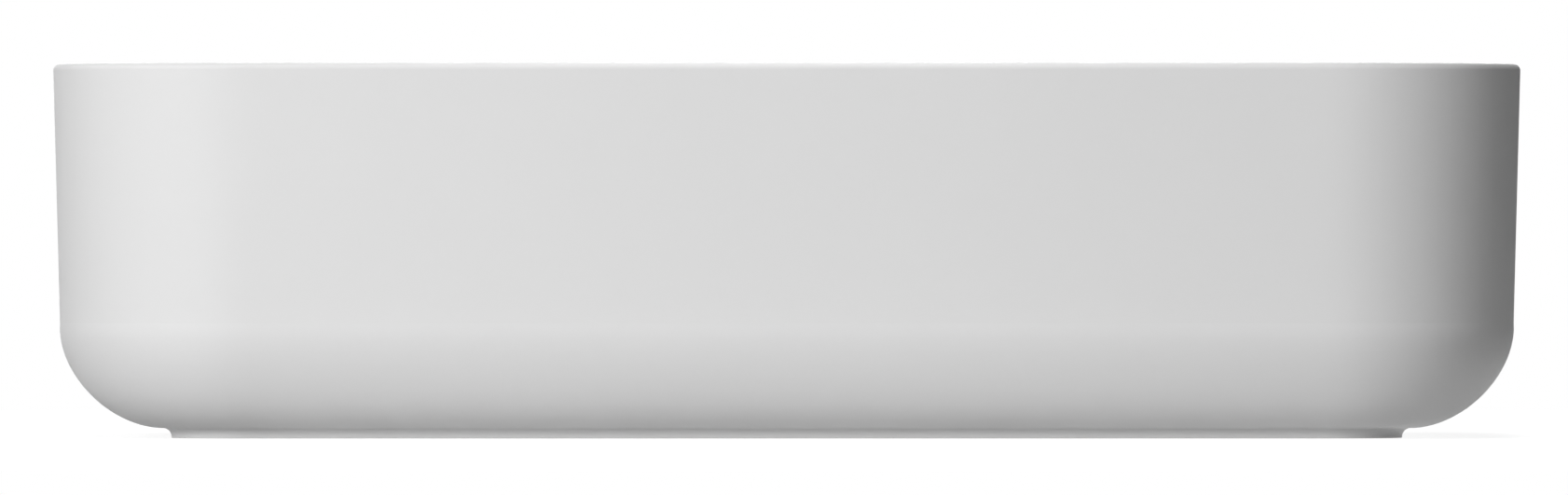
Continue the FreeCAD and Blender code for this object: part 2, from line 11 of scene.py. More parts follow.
import bmesh
import bpy
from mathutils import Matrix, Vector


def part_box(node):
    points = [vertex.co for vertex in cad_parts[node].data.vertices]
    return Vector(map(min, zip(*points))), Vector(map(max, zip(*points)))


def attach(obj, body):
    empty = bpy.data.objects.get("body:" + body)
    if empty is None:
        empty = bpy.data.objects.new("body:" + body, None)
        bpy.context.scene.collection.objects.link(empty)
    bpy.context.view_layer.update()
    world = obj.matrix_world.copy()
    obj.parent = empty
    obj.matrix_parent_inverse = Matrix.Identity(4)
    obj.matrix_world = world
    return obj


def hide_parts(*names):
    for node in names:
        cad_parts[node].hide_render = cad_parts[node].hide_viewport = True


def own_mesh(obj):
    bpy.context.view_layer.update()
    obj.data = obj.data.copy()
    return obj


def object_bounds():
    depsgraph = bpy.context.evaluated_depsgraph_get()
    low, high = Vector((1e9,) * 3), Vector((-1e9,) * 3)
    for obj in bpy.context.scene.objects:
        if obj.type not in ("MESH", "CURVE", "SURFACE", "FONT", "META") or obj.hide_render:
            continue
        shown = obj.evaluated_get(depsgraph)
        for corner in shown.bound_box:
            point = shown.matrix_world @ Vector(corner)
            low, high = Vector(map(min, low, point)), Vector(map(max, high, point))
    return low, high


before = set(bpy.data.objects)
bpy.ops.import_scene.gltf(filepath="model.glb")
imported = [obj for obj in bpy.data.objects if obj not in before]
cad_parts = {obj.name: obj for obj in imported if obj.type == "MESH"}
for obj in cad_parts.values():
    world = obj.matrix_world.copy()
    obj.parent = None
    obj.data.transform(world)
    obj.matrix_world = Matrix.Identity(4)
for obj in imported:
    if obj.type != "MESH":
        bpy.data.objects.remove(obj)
cad_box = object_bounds()
print("CAD box, metres:", [[round(value, 4) for value in corner] for corner in cad_box])

# %% [markdown]
# ## Small helpers for node trees
# Both shapes and finishes below are node trees. Written out call by call they would bury the idea, so a
# few helpers add a node, feed a socket with a number or with another node, and do one step of
# arithmetic.

# %% Node helpers
def feed(tree, socket, source):
    """Links a socket to another node's output, or gives it a plain value."""
    if isinstance(source, bpy.types.NodeSocket):
        tree.links.new(source, socket)
    else:
        socket.default_value = source


def add(tree, kind, feeds=None, **settings):
    """One new node with its settings, and what feeds its sockets."""
    node = tree.nodes.new(kind)
    for label, value in settings.items():
        setattr(node, label, value)
    for socket, source in (feeds or {}).items():
        feed(tree, node.inputs[socket], source)
    return node


def calc(tree, operation, *terms):
    """The result of one Math node."""
    return add(tree, "ShaderNodeMath", dict(enumerate(terms)), operation=operation).outputs[0]


def calc_vector(tree, operation, *terms):
    """The result of one Vector Math node."""
    return add(tree, "ShaderNodeVectorMath", dict(enumerate(terms)), operation=operation).outputs[0]


def length_of(tree, vector):
    return add(tree, "ShaderNodeVectorMath", {0: vector}, operation="LENGTH").outputs["Value"]


def scale_vector(tree, vector, factor):
    return add(tree, "ShaderNodeVectorMath", {0: vector, "Scale": factor}, operation="SCALE").outputs[0]


def stretch(tree, value, low, high, to_low, to_high):
    """A value moved from one range to another, and held inside it."""
    feeds = {"Value": value, "From Min": low, "From Max": high, "To Min": to_low, "To Max": to_high}
    return add(tree, "ShaderNodeMapRange", feeds).outputs[0]


print("node helpers ready")

# %% [markdown]
# ## Glaze on the ceramic
# The basin is fired clay under a thick white glass. The glass is smooth but never dead flat: it ran
# while it was hot, so broad soft waves show in its reflections, and its white drifts very slightly. The
# foot is wiped bare before firing, so it stays matt and a little warmer, and the hollow underneath gets
# only a thin spray that lets the clay show through in patches. A painted picture could show this, but
# noise on Object coordinates needs no unwrapping and has no seams. The height of a point says where the
# foot is, and the mesh itself will carry an attribute that says where the spray is thin.

# %% Make the glaze
def new_finish(name):
    """A material with nodes: its tree, its shader, and Object coordinates to place patterns with."""
    finish = bpy.data.materials.new(name)
    finish.use_nodes = True
    tree = finish.node_tree
    shader = tree.nodes["Principled BSDF"]
    place = add(tree, "ShaderNodeTexCoord").outputs["Object"]
    return finish, tree, shader, place


def noise(tree, place, scale, detail=2.0):
    feeds = {"Vector": place, "Scale": scale, "Detail": detail}
    return add(tree, "ShaderNodeTexNoise", feeds).outputs["Fac"]


def blend_colour(tree, share, first, second):
    feeds = {0: share, 6: first, 7: second}
    return add(tree, "ShaderNodeMix", feeds, data_type="RGBA").outputs[2]


def relief(tree, shader, height, strength, depth):
    """Feeds the shader's normal from a height pattern; depth is in metres."""
    bump = add(tree, "ShaderNodeBump", {"Height": height, "Strength": strength, "Distance": depth})
    tree.links.new(bump.outputs["Normal"], shader.inputs["Normal"])


THIN_GLAZE = "thin_glaze"
BARE_BELOW = 0.00002
GLAZED_ABOVE = 0.00015
CLAY_ROUGH = 0.85
SPRAYED_ROUGH = 0.68


def make_glaze():
    finish, tree, shader, place = new_finish("white_glaze")
    drift = noise(tree, place, scale=7.0)
    white = blend_colour(tree, drift, (0.865, 0.865, 0.865, 1), (0.895, 0.895, 0.895, 1))
    grain = noise(tree, place, scale=900.0, detail=4.0)
    bare_clay = blend_colour(tree, grain, (0.70, 0.67, 0.62, 1), (0.80, 0.77, 0.73, 1))
    height = add(tree, "ShaderNodeSeparateXYZ", {0: place}).outputs["Z"]
    glazed = stretch(tree, height, BARE_BELOW, GLAZED_ABOVE, 0.0, 1.0)
    thin = add(tree, "ShaderNodeAttribute", attribute_name=THIN_GLAZE).outputs["Fac"]
    patches = stretch(tree, noise(tree, place, scale=55.0, detail=5.0), 0.35, 0.65, 0.35, 0.9)
    sprayed = blend_colour(tree, calc(tree, "MULTIPLY", thin, patches), white, (0.76, 0.73, 0.68, 1))
    feed(tree, shader.inputs["Base Color"], blend_colour(tree, glazed, bare_clay, sprayed))
    satin = stretch(tree, noise(tree, place, scale=40.0), 0.3, 0.7, 0.42, 0.48)
    dulled = stretch(tree, thin, 0.0, 1.0, satin, SPRAYED_ROUGH)
    feed(tree, shader.inputs["Roughness"], stretch(tree, glazed, 0.0, 1.0, CLAY_ROUGH, dulled))
    shader.inputs["IOR"].default_value = 1.5
    waves = noise(tree, place, scale=14.0, detail=0.0)
    relief(tree, shader, waves, strength=0.2, depth=0.0004)
    return finish


glaze = make_glaze()
print("glaze:", len(glaze.node_tree.nodes), "nodes")

# %% [markdown]
# ## The ceramic basin
# A basin like this is cast in a plaster mould: one closed skin that runs from the drain over the bowl's
# floor, up the wall, over the rim, down the outside, round the turned-under edge, under the foot, and
# back through the hollow below the bowl to the drain again. It could be modelled by pushing faces
# about, but the skin follows a rule: it is a chain of rings. Near the walls a ring is the plan drawn in
# by some inset, near the drain it is a circle, and the floor climbs with the distance from the drain.
# So the chain of rings is written down once, and a node tree lays a grid over it.

# %% Sizes of the ceramic, in millimetres
MM = 0.001
low_corner, high_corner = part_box("basin_body")
WIDTH, DEPTH, HEIGHT = [(high - low) / MM for low, high in zip(low_corner, high_corner)]
PLAN_RADIUS = 72.0
DRAFT_DEG = 1.5
DRAFT = math.radians(DRAFT_DEG)
RIM_ROUND = 1.6
OUTER_RIM_ROUND = 2.4
WALL = 7.0
TURN_HEIGHT = 41.0
TURN_FULLNESS = 0.58
FOOT_INSET = 44.3
FOOT_HEIGHT = 3.6
FOOT_COVE = 3.2
FOOT_WIDTH = 12.0
BOWL_ROUND = 38.0
FLOOR_RISE = 42.0
FLOOR_SLOPE = math.tan(math.radians(1.5))
print("basin, mm:", round(WIDTH, 2), "x", round(DEPTH, 2), "x", round(HEIGHT, 2))

# %% [markdown]
# ### Curves of the section
# A mould maker draws the section with straight lines, arcs and one fuller curve for the turn under the
# wall. Curve objects could draw them too, but plain functions that give points leave every size above
# in charge.

# %% Lines, arcs and conics of the section
def straight(start, end, steps):
    """Points from start to end, both included."""
    shares = [k / steps for k in range(steps + 1)]
    return [tuple(a + (b - a) * share for a, b in zip(start, end)) for share in shares]


def bend(centre, radius, start_deg, end_deg, steps):
    """Points of an arc; 0 degrees points along the first coordinate and 90 up."""
    turns = [math.radians(start_deg + (end_deg - start_deg) * k / steps) for k in range(steps + 1)]
    return [(centre[0] + radius * math.cos(a), centre[1] + radius * math.sin(a)) for a in turns]


def conic(start, corner, end, fullness, steps, crowding=1.0):
    """Points of a curve that leaves start towards corner and arrives at end from corner.

    A crowding over 1 draws the points together near the start.
    """
    points = []
    for k in range(steps + 1):
        t = (k / steps) ** crowding
        weights = ((1 - t) ** 2, 2 * t * (1 - t) * fullness, t ** 2)
        total = sum(weights)
        points.append(tuple(
            sum(weight * value for weight, value in zip(weights, values)) / total
            for values in zip(start, corner, end)
        ))
    return points


def wall_inset(height):
    """How far in the drafted outer wall stands at a height."""
    widest = HEIGHT - RIM_ROUND * (1 + math.sin(DRAFT))
    return RIM_ROUND * (1 - math.cos(DRAFT)) + (widest - height) * math.tan(DRAFT)


print("outer wall stands in by", round(wall_inset(TURN_HEIGHT), 2), "mm where the turn starts")

# %% [markdown]
# ### The chain of rings
# Each ring holds six numbers: its inset from the widest plan, its radius if it is round, its height,
# how far it has changed from plan to circle, how much of the floor's climb it takes, and how thin the
# glaze is on it. Small rounds of a few rings stand in for edges that no fired glaze leaves sharp, and a
# ring close beside each round keeps the shading of flat faces flat.

# %% Rings of the bowl, from the drain's lip up to the rim
rings = []


def plan_rings(points, climb=0.0, thin=0.0):
    """Rings that follow the plan, from (inset, height) points."""
    rings.extend((inset, 0.0, height, 0.0, climb, thin) for inset, height in points)


def round_rings(points, thin=0.0):
    """Rings that are circles about the drain, from (radius, height) points."""
    rings.extend((0.0, radius, height, 1.0, 0.0, thin) for radius, height in points)


def changing_rings(inset, radius, height, shares, thin=0.0):
    """Rings on the sloping floor or ceiling, between a plan ring and a circle."""
    rings.extend((inset, radius, height, share, 1.0, thin) for share in shares)


SEAT_R = 34.0
LIP_ROUND = 1.5
lip_r = SEAT_R + LIP_ROUND
lip_z = FLOOR_RISE + lip_r * FLOOR_SLOPE
round_rings(bend((lip_r, lip_z - LIP_ROUND), LIP_ROUND, 180, 90, 6))

wall_across = WALL / math.cos(DRAFT)
FILLET_TOP = 85.0
bowl_inset = wall_inset(FILLET_TOP) + wall_across
FLOOR_STEPS = 20
floor_shares = [1 - k / FLOOR_STEPS for k in range(1, FLOOR_STEPS)]
changing_rings(bowl_inset + BOWL_ROUND, lip_r, FLOOR_RISE, floor_shares)
fillet_centre = (bowl_inset + BOWL_ROUND, FLOOR_RISE + BOWL_ROUND)
plan_rings(bend(fillet_centre, BOWL_ROUND, 270, 180 + DRAFT_DEG, 22), climb=1.0)

rim_z = HEIGHT - RIM_ROUND
inner_rim = (wall_inset(rim_z) + wall_across - RIM_ROUND, rim_z)
BOWL_LEVELS = (97.0, 108.0, 119.0, 130.0, 137.8)
plan_rings((wall_inset(z) + wall_across, z) for z in BOWL_LEVELS)
plan_rings(bend(inner_rim, RIM_ROUND, DRAFT_DEG, 90, 8))
bowl_ring_count = len(rings)
print("rings up to the inner rim:", bowl_ring_count)

# %% [markdown]
# The outside leans in a little towards the foot, so that the casting leaves its mould. Low on the wall
# a faint line shows where the mould's two halves met. Below it the turn swells by less than a tenth of
# a millimetre, which a bump could fake from the front, but only a real swell bends the light along the
# whole line.

# %% Rings of the outside, from the rim down to the foot
HOLD = 0.4
outer_rim_z = HEIGHT - OUTER_RIM_ROUND
outer_rim = (wall_inset(outer_rim_z) + OUTER_RIM_ROUND / math.cos(DRAFT), outer_rim_z)
plan_rings([(inner_rim[0] - HOLD, HEIGHT), (outer_rim[0] + HOLD, HEIGHT)])
plan_rings(bend(outer_rim, OUTER_RIM_ROUND, 90, 180 + DRAFT_DEG, 12))
MOULD_LINE = 42.95
LINE_HOLD = 0.1
WALL_LEVELS = (137.0, 130.0, 118.0, 106.0, 94.0, 82.0, 70.0, 58.0, 49.0, 44.0, MOULD_LINE + LINE_HOLD)
plan_rings((wall_inset(z), z) for z in WALL_LEVELS)
SWELL = 0.06
SWELL_DROP = 2.2
turn_start = (wall_inset(MOULD_LINE), TURN_HEIGHT)
turn_end = (FOOT_INSET - FOOT_COVE, FOOT_HEIGHT)


def swell(height):
    """How far the turn stands out just below the line where the two halves of the mould met."""
    drop = (MOULD_LINE - height) / SWELL_DROP
    return SWELL * drop * math.exp(1 - drop)


above_turn = straight((turn_start[0], MOULD_LINE), turn_start, 6)[:-1]
turn_curve = conic(turn_start, (turn_start[0], turn_end[1]), turn_end, TURN_FULLNESS, 36, crowding=1.6)
plan_rings((inset - swell(height), height) for inset, height in above_turn + turn_curve)
cove_centre = (turn_end[0], FOOT_HEIGHT - FOOT_COVE)
plan_rings(bend(cove_centre, FOOT_COVE, 90, 0, 8)[1:])
FOOT_EDGE = 0.25
plan_rings(bend((FOOT_INSET + FOOT_EDGE, FOOT_EDGE), FOOT_EDGE, 180, 270, 3))
mouth_inset = FOOT_INSET + FOOT_WIDTH
plan_rings(straight((FOOT_INSET + HOLD + FOOT_EDGE, 0.0), (mouth_inset - 2 * HOLD, 0.0), 3))
print("rings of the outside and foot:", len(rings) - bowl_ring_count)

# %% [markdown]
# Underneath, the casting is hollow, which saves weight and fires more evenly. The same kinds of ring
# follow the inside of the turn, cross the ceiling, go round the boss that the nut presses on, and come
# up through the drain to the seat where the chain began.

# %% Rings of the hollow below the bowl, back to the drain
SHELL = 9.0
MOUTH_ROUND = 3.0
CEILING_Z = 31.0
BOSS_R = 38.0
BOSS_Z = 25.5
BOSS_ROUND = 1.5
DRAIN_R = 22.955
SEAT_Z = 37.5
ledge_z = FOOT_HEIGHT + SHELL
plan_rings(bend((mouth_inset - HOLD, HOLD), HOLD, 270, 360, 3))
mouth = (mouth_inset - MOUTH_ROUND, ledge_z - MOUTH_ROUND)
plan_rings(bend(mouth, MOUTH_ROUND, 0, 90, 6), thin=1.0)
hollow_foot = (turn_end[0], ledge_z)
hollow_top = (wall_inset(TURN_HEIGHT) + SHELL, TURN_HEIGHT)
HOLLOW_TURN_POINTS = 24
inner_turn = conic(hollow_foot, (hollow_top[0], ledge_z), hollow_top, TURN_FULLNESS, 40)
inner_turn = inner_turn[:HOLLOW_TURN_POINTS]
plan_rings(inner_turn, thin=1.0)

# The ceiling's rounding starts on the inner turn and takes up the floor's climb on its way in.
MEAN_CLIMB = 6.0
CEILING_ROUND_INSET = 24.5
CEILING_CORNER_INSET = 8.9
CEILING_ROUND_FULLNESS = 0.447
CEILING_ROUND_STEPS = 10
ceiling_z = CEILING_Z + MEAN_CLIMB
corner_curve = conic(
    inner_turn[-1], (CEILING_CORNER_INSET, ceiling_z), (CEILING_ROUND_INSET, ceiling_z),
    CEILING_ROUND_FULLNESS, CEILING_ROUND_STEPS,
)
for k, (inset, height) in enumerate(corner_curve[1:], start=1):
    climb = k / CEILING_ROUND_STEPS
    plan_rings([(inset, height - climb * MEAN_CLIMB)], climb=climb, thin=1.0)
boss_fillet_r = BOSS_R + BOSS_ROUND
CEILING_STEPS = 16
ceiling_shares = [k / CEILING_STEPS for k in range(1, CEILING_STEPS)]
changing_rings(CEILING_ROUND_INSET, boss_fillet_r, CEILING_Z, ceiling_shares, thin=1.0)
fillet_z = CEILING_Z + boss_fillet_r * FLOOR_SLOPE - BOSS_ROUND
round_rings(bend((boss_fillet_r, fillet_z), BOSS_ROUND, 90, 180, 5), thin=1.0)
round_rings(bend((BOSS_R - BOSS_ROUND, BOSS_Z + BOSS_ROUND), BOSS_ROUND, 0, -90, 5), thin=1.0)
EDGE = 0.35
boss_face = straight((BOSS_R - BOSS_ROUND - HOLD, BOSS_Z), (DRAIN_R + EDGE + HOLD, BOSS_Z), 3)
round_rings(boss_face, thin=1.0)
round_rings(bend((DRAIN_R + EDGE, BOSS_Z + EDGE), EDGE, 270, 180, 3), thin=1.0)
round_rings(bend((DRAIN_R + EDGE, SEAT_Z - EDGE), EDGE, 180, 90, 3))
round_rings(straight((DRAIN_R + EDGE + HOLD, SEAT_Z), (SEAT_R - 2 * HOLD, SEAT_Z), 2))
round_rings(bend((SEAT_R - HOLD, SEAT_Z + HOLD), HOLD, 270, 360, 3))
round_rings([(SEAT_R, SEAT_Z + 2 * HOLD), (SEAT_R, lip_z - LIP_ROUND - HOLD)])
print("rings in all:", len(rings))

# %% [markdown]
# ### Helpers for geometry trees
# Every shape below starts as an empty tree with named inputs and ends the same way: what meets is
# welded, faces are shaded smooth, instances become real and the finish is set. Most shapes also lay a
# grid over a chain of points. Each tree could hold these nodes itself, but written once they stay
# alike.

# %% Helpers for geometry trees
WELD = 0.000002


def new_tree(name, inputs):
    """An empty geometry tree with named inputs, and the outputs of its input node."""
    tree = bpy.data.node_groups.new(name, "GeometryNodeTree")
    for label, kind in inputs.items():
        tree.interface.new_socket(label, in_out="INPUT", socket_type="NodeSocket" + kind)
    tree.interface.new_socket("Mesh", in_out="OUTPUT", socket_type="NodeSocketGeometry")
    return tree, tree.nodes.new("NodeGroupInput").outputs


def close_tree(tree, shape, finish):
    """Welds what meets, shades it smooth, realizes instances and sets the finish."""
    welded = add(tree, "GeometryNodeMergeByDistance", {"Geometry": shape, "Distance": WELD})
    smooth = add(tree, "GeometryNodeSetShadeSmooth", {"Geometry": welded.outputs[0]})
    real = add(tree, "GeometryNodeRealizeInstances", {"Geometry": smooth.outputs[0]})
    dressed = add(tree, "GeometryNodeSetMaterial", {"Geometry": real.outputs[0], "Material": finish})
    tree.links.new(dressed.outputs[0], tree.nodes.new("NodeGroupOutput").inputs[0])


def wrap_grid(tree, chain, closed, steps):
    """A grid over a chain of points, each grid point's chain index, and its share of a full turn."""
    count = add(tree, "GeometryNodeAttributeDomainSize", {0: chain}, component="MESH").outputs["Point Count"]
    rows = calc(tree, "ADD", count, closed)
    columns = calc(tree, "ADD", steps, 1)
    feeds = {"Size X": 1.0, "Size Y": 1.0, "Vertices X": rows, "Vertices Y": columns}
    grid = add(tree, "GeometryNodeMeshGrid", feeds).outputs["Mesh"]
    spot = add(tree, "ShaderNodeSeparateXYZ", {0: add(tree, "GeometryNodeInputPosition").outputs[0]})
    # The grid is 1 wide about the origin, so its X and Y plus a half run from 0 to 1.
    row_share = calc(tree, "ADD", spot.outputs["X"], 0.5)
    row = calc(tree, "ROUND", calc(tree, "MULTIPLY", row_share, calc(tree, "SUBTRACT", rows, 1)))
    return grid, calc(tree, "MODULO", row, count), calc(tree, "ADD", spot.outputs["Y"], 0.5)


def look_up(tree, chain, value, index):
    """A vector of the chain's point with that index, as X, Y and Z."""
    feeds = {"Geometry": chain, "Value": value, "Index": index}
    found = add(tree, "GeometryNodeSampleIndex", feeds, data_type="FLOAT_VECTOR").outputs[0]
    return add(tree, "ShaderNodeSeparateXYZ", {0: found}).outputs


print("tree helpers weld points closer than", WELD, "m")

# %% [markdown]
# ### The tree that lays a grid over the rings
# A grid has as many rows as there are rings, and its columns run once round. Each of its points looks
# up its ring and its place on the plan, steps in by the ring's inset, changes towards a circle as far
# as the ring says, and climbs with the floor. The grid's first and last rows and columns meet, and
# merging them closes the skin.

# %% The sweep tree
CORNER_STEPS = 96


def sweep_tree():
    tree, given = new_tree("sweep_round_plan", {
        "Width": "Float", "Depth": "Float", "Plan Radius": "Float", "Floor Slope": "Float",
        "Steps Round": "Int", "Rings": "Object", "Finish": "Material",
    })
    feeds = {"Width": given["Width"], "Height": given["Depth"]}
    sides = add(tree, "GeometryNodeCurvePrimitiveQuadrilateral", feeds)
    feeds = {"Curve": sides.outputs[0], "Count": CORNER_STEPS, "Radius": given["Plan Radius"]}
    plan = add(tree, "GeometryNodeFilletCurve", feeds, mode="POLY").outputs[0]
    chain = add(tree, "GeometryNodeObjectInfo", {"Object": given["Rings"]}).outputs["Geometry"]
    grid, index, turn = wrap_grid(tree, chain, 1, given["Steps Round"])

    on_plan = add(tree, "GeometryNodeSampleCurve", {"Curves": plan, "Factor": turn}, mode="FACTOR").outputs
    outward = calc_vector(tree, "CROSS_PRODUCT", on_plan["Tangent"], (0, 0, 1))
    size = look_up(tree, chain, add(tree, "GeometryNodeInputPosition").outputs[0], index)
    feeds = {"Name": "shares"}
    named = add(tree, "GeometryNodeInputNamedAttribute", feeds, data_type="FLOAT_VECTOR").outputs[0]
    share = look_up(tree, chain, named, index)

    inward = scale_vector(tree, outward, calc(tree, "MULTIPLY", size["X"], -1))
    drawn_in = calc_vector(tree, "ADD", on_plan["Position"], inward)
    way_out = calc_vector(tree, "NORMALIZE", drawn_in)
    circle = scale_vector(tree, way_out, size["Y"])
    feeds = {0: share["X"], 4: drawn_in, 5: circle}
    flat_place = add(tree, "ShaderNodeMix", feeds, data_type="VECTOR").outputs[1]
    reach = length_of(tree, flat_place)
    climb = calc(tree, "MULTIPLY", calc(tree, "MULTIPLY", reach, given["Floor Slope"]), share["Y"])
    lift = add(tree, "ShaderNodeCombineXYZ", {"Z": calc(tree, "ADD", size["Z"], climb)}).outputs[0]
    feeds = {"Geometry": grid, "Name": THIN_GLAZE, "Value": share["Z"]}
    marked = add(tree, "GeometryNodeStoreNamedAttribute", feeds).outputs[0]
    feeds = {"Geometry": marked, "Position": calc_vector(tree, "ADD", flat_place, lift)}
    skin = add(tree, "GeometryNodeSetPosition", feeds).outputs[0]
    close_tree(tree, skin, given["Finish"])
    return tree


plan_sweep = sweep_tree()
print("sweep tree:", len(plan_sweep.nodes), "nodes")

# %% [markdown]
# ### From tree to mesh
# A modifier runs the tree on an empty object. Its result is kept as a plain mesh and the modifier is
# removed, because a piece that is handed on needs faces of its own. Applying it by hand would do the
# same, but not again each time a size changes. The sign of the volume tells whether the faces point
# outwards.

# %% From tree to mesh
def link(name, mesh):
    piece = bpy.data.objects.new(name, mesh)
    bpy.context.scene.collection.objects.link(piece)
    return piece


def chain_object(points, shares=()):
    """The points of a chain as a helper object, in metres, with three shares a point if given."""
    mesh = bpy.data.meshes.new("chain")
    mesh.from_pydata([[MM * value for value in point] for point in points], [], [])
    if shares:
        layer = mesh.attributes.new("shares", "FLOAT_VECTOR", "POINT")
        layer.data.foreach_set("vector", [value for triple in shares for value in triple])
    return link("chain", mesh)


def grow(name, tree, **inputs):
    """Runs a tree on an empty object and keeps its result as a plain mesh with its faces outwards."""
    piece = link(name, bpy.data.meshes.new("empty"))
    modifier = piece.modifiers.new("shape", "NODES")
    modifier.node_group = tree
    for item in tree.interface.items_tree:
        if item.in_out == "INPUT":
            modifier[item.identifier] = inputs[item.name.replace(" ", "_").lower()]
    evaluated = piece.evaluated_get(bpy.context.evaluated_depsgraph_get())
    mesh = bpy.data.meshes.new_from_object(evaluated)
    piece.modifiers.remove(modifier)
    empty, piece.data = piece.data, mesh
    bpy.data.meshes.remove(empty)
    mesh.name = name
    turn_outwards(mesh)
    return piece


def turn_outwards(mesh):
    """Turns the faces of a closed mesh outwards, and prints what it measures."""
    shape = bmesh.new()
    shape.from_mesh(mesh)
    volume = shape.calc_volume(signed=True)
    if volume < 0:
        bmesh.ops.reverse_faces(shape, faces=shape.faces[:])
        shape.to_mesh(mesh)
    open_edges = sum(not edge.is_manifold for edge in shape.edges)
    triangles = sum(len(face.verts) - 2 for face in shape.faces)
    shape.free()
    print(f"{mesh.name}: {triangles} triangles, {abs(volume) * 1e6:.2f} cm3, {open_edges} open edges")


def remove_helper(helper):
    mesh = helper.data
    bpy.data.objects.remove(helper)
    bpy.data.meshes.remove(mesh)


print("shapes are kept as plain meshes")

# %% [markdown]
# ### The basin itself
# With the helpers in place the basin is one call. The chain goes in as a helper object, the tree's
# inputs take their sizes by name, and the new piece then rides on the fixed body and stands for the
# model's ceramic.

# %% Grow the basin
def install(piece, body, slot, *nodes):
    """The piece rides on a body and stands for CAD nodes. The slot is not used."""
    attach(piece, body)
    if nodes:
        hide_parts(*nodes)


ring_chain = chain_object([ring[:3] for ring in rings], [ring[3:] for ring in rings])
ceramic = grow(
    "ceramic_basin", plan_sweep, width=WIDTH * MM, depth=DEPTH * MM, plan_radius=PLAN_RADIUS * MM,
    floor_slope=FLOOR_SLOPE, steps_round=320, rings=ring_chain, finish=glaze,
)
remove_helper(ring_chain)
install(ceramic, "basin", "glaze", "basin_body")

# %% [markdown]
# ## Chrome, brass, rubber, nylon and steel
# The waste's pieces are turned metal, moulded rubber and nylon. Chrome is a mirror with faint smears
# from polishing. Bare brass keeps the fine rings of the lathe, which run round the axis on a side and
# on a face alike, so the pattern reads the distance from the axis plus the height. Rubber has a soft
# grey bloom, nylon a slight glow, and drawn steel fine streaks. Each is a few nodes of noise on one
# shader.

# %% Make the finishes of the waste
def lathe_rings(tree, place, scale):
    """Fine uneven rings round the Z axis, as a turning tool leaves them."""
    flat = calc_vector(tree, "MULTIPLY", place, (1, 1, 0))
    height = add(tree, "ShaderNodeSeparateXYZ", {0: place}).outputs["Z"]
    run = calc(tree, "ADD", length_of(tree, flat), height)
    spread = add(tree, "ShaderNodeCombineXYZ", {"X": run}).outputs[0]
    return noise(tree, spread, scale, detail=3.0)


def make_metal(name, dark, bright, ring_scale, rough_low, rough_high, ring_depth):
    """Turned metal, with smears in its colour and the lathe's rings in its surface."""
    finish, tree, shader, place = new_finish(name)
    shader.inputs["Metallic"].default_value = 1.0
    marks = lathe_rings(tree, place, ring_scale)
    smears = noise(tree, place, scale=90.0, detail=3.0)
    feed(tree, shader.inputs["Base Color"], blend_colour(tree, smears, dark, bright))
    half_marks, half_smears = [calc(tree, "MULTIPLY", pattern, 0.5) for pattern in (marks, smears)]
    worn = calc(tree, "ADD", half_marks, half_smears)
    feed(tree, shader.inputs["Roughness"], stretch(tree, worn, 0.3, 0.7, rough_low, rough_high))
    relief(tree, shader, marks, strength=0.3, depth=ring_depth)
    return finish


GRAIN_PER_BLOOM = 25
GLOW_DEPTH = 0.002


def make_soft(name, dark, bright, scale, rough_low, rough_high, grain_depth, glow=0.0):
    """Rubber or nylon; a glow lets some light into the surface."""
    finish, tree, shader, place = new_finish(name)
    bloom = noise(tree, place, scale, detail=4.0)
    grain = noise(tree, place, GRAIN_PER_BLOOM * scale)
    feed(tree, shader.inputs["Base Color"], blend_colour(tree, bloom, dark, bright))
    feed(tree, shader.inputs["Roughness"], stretch(tree, bloom, 0.3, 0.7, rough_low, rough_high))
    relief(tree, shader, grain, strength=0.4, depth=grain_depth)
    if glow:
        shader.inputs["Subsurface Weight"].default_value = glow
        shader.inputs["Subsurface Scale"].default_value = GLOW_DEPTH
    return finish


chrome = make_metal(
    "polished_chrome", dark=(0.74, 0.75, 0.76, 1), bright=(0.82, 0.83, 0.84, 1),
    ring_scale=500.0, rough_low=0.05, rough_high=0.11, ring_depth=0.000004,
)
brass = make_metal(
    "turned_brass", dark=(0.66, 0.49, 0.23, 1), bright=(0.78, 0.62, 0.33, 1),
    ring_scale=2600.0, rough_low=0.29, rough_high=0.40, ring_depth=0.00002,
)
steel = make_metal(
    "drawn_steel", dark=(0.55, 0.56, 0.57, 1), bright=(0.68, 0.69, 0.70, 1),
    ring_scale=3000.0, rough_low=0.18, rough_high=0.26, ring_depth=0.00001,
)
rubber = make_soft(
    "black_rubber", dark=(0.035, 0.035, 0.037, 1), bright=(0.075, 0.075, 0.078, 1),
    scale=60.0, rough_low=0.55, rough_high=0.72, grain_depth=0.00003,
)
nylon = make_soft(
    "pale_nylon", dark=(0.82, 0.82, 0.78, 1), bright=(0.90, 0.90, 0.87, 1),
    scale=40.0, rough_low=0.36, rough_high=0.48, grain_depth=0.00002, glow=0.15,
)
print("finishes:", [finish.name for finish in (chrome, brass, steel, rubber, nylon)])

# %% [markdown]
# ## A tree for turned pieces
# Nearly every piece of the waste comes off a lathe, so one tree makes them all: it wraps a grid round
# the axis over an outline of radius and height. Two more inputs turn the same outline into something
# else. A thread cuts a winding groove where the outline asks for it, and flats hold every point inside
# a hexagon, which is just how a nut's turned blank is milled. Blender's Screw modifier could spin an
# outline too, but it makes neither the groove nor the flats.

# %% The turning tree
NO_FLATS = 1.0
FULL_TURN = 2 * math.pi
SIXTH = FULL_TURN / 6
CREST_END = 0.12
ROOT_START = 0.88


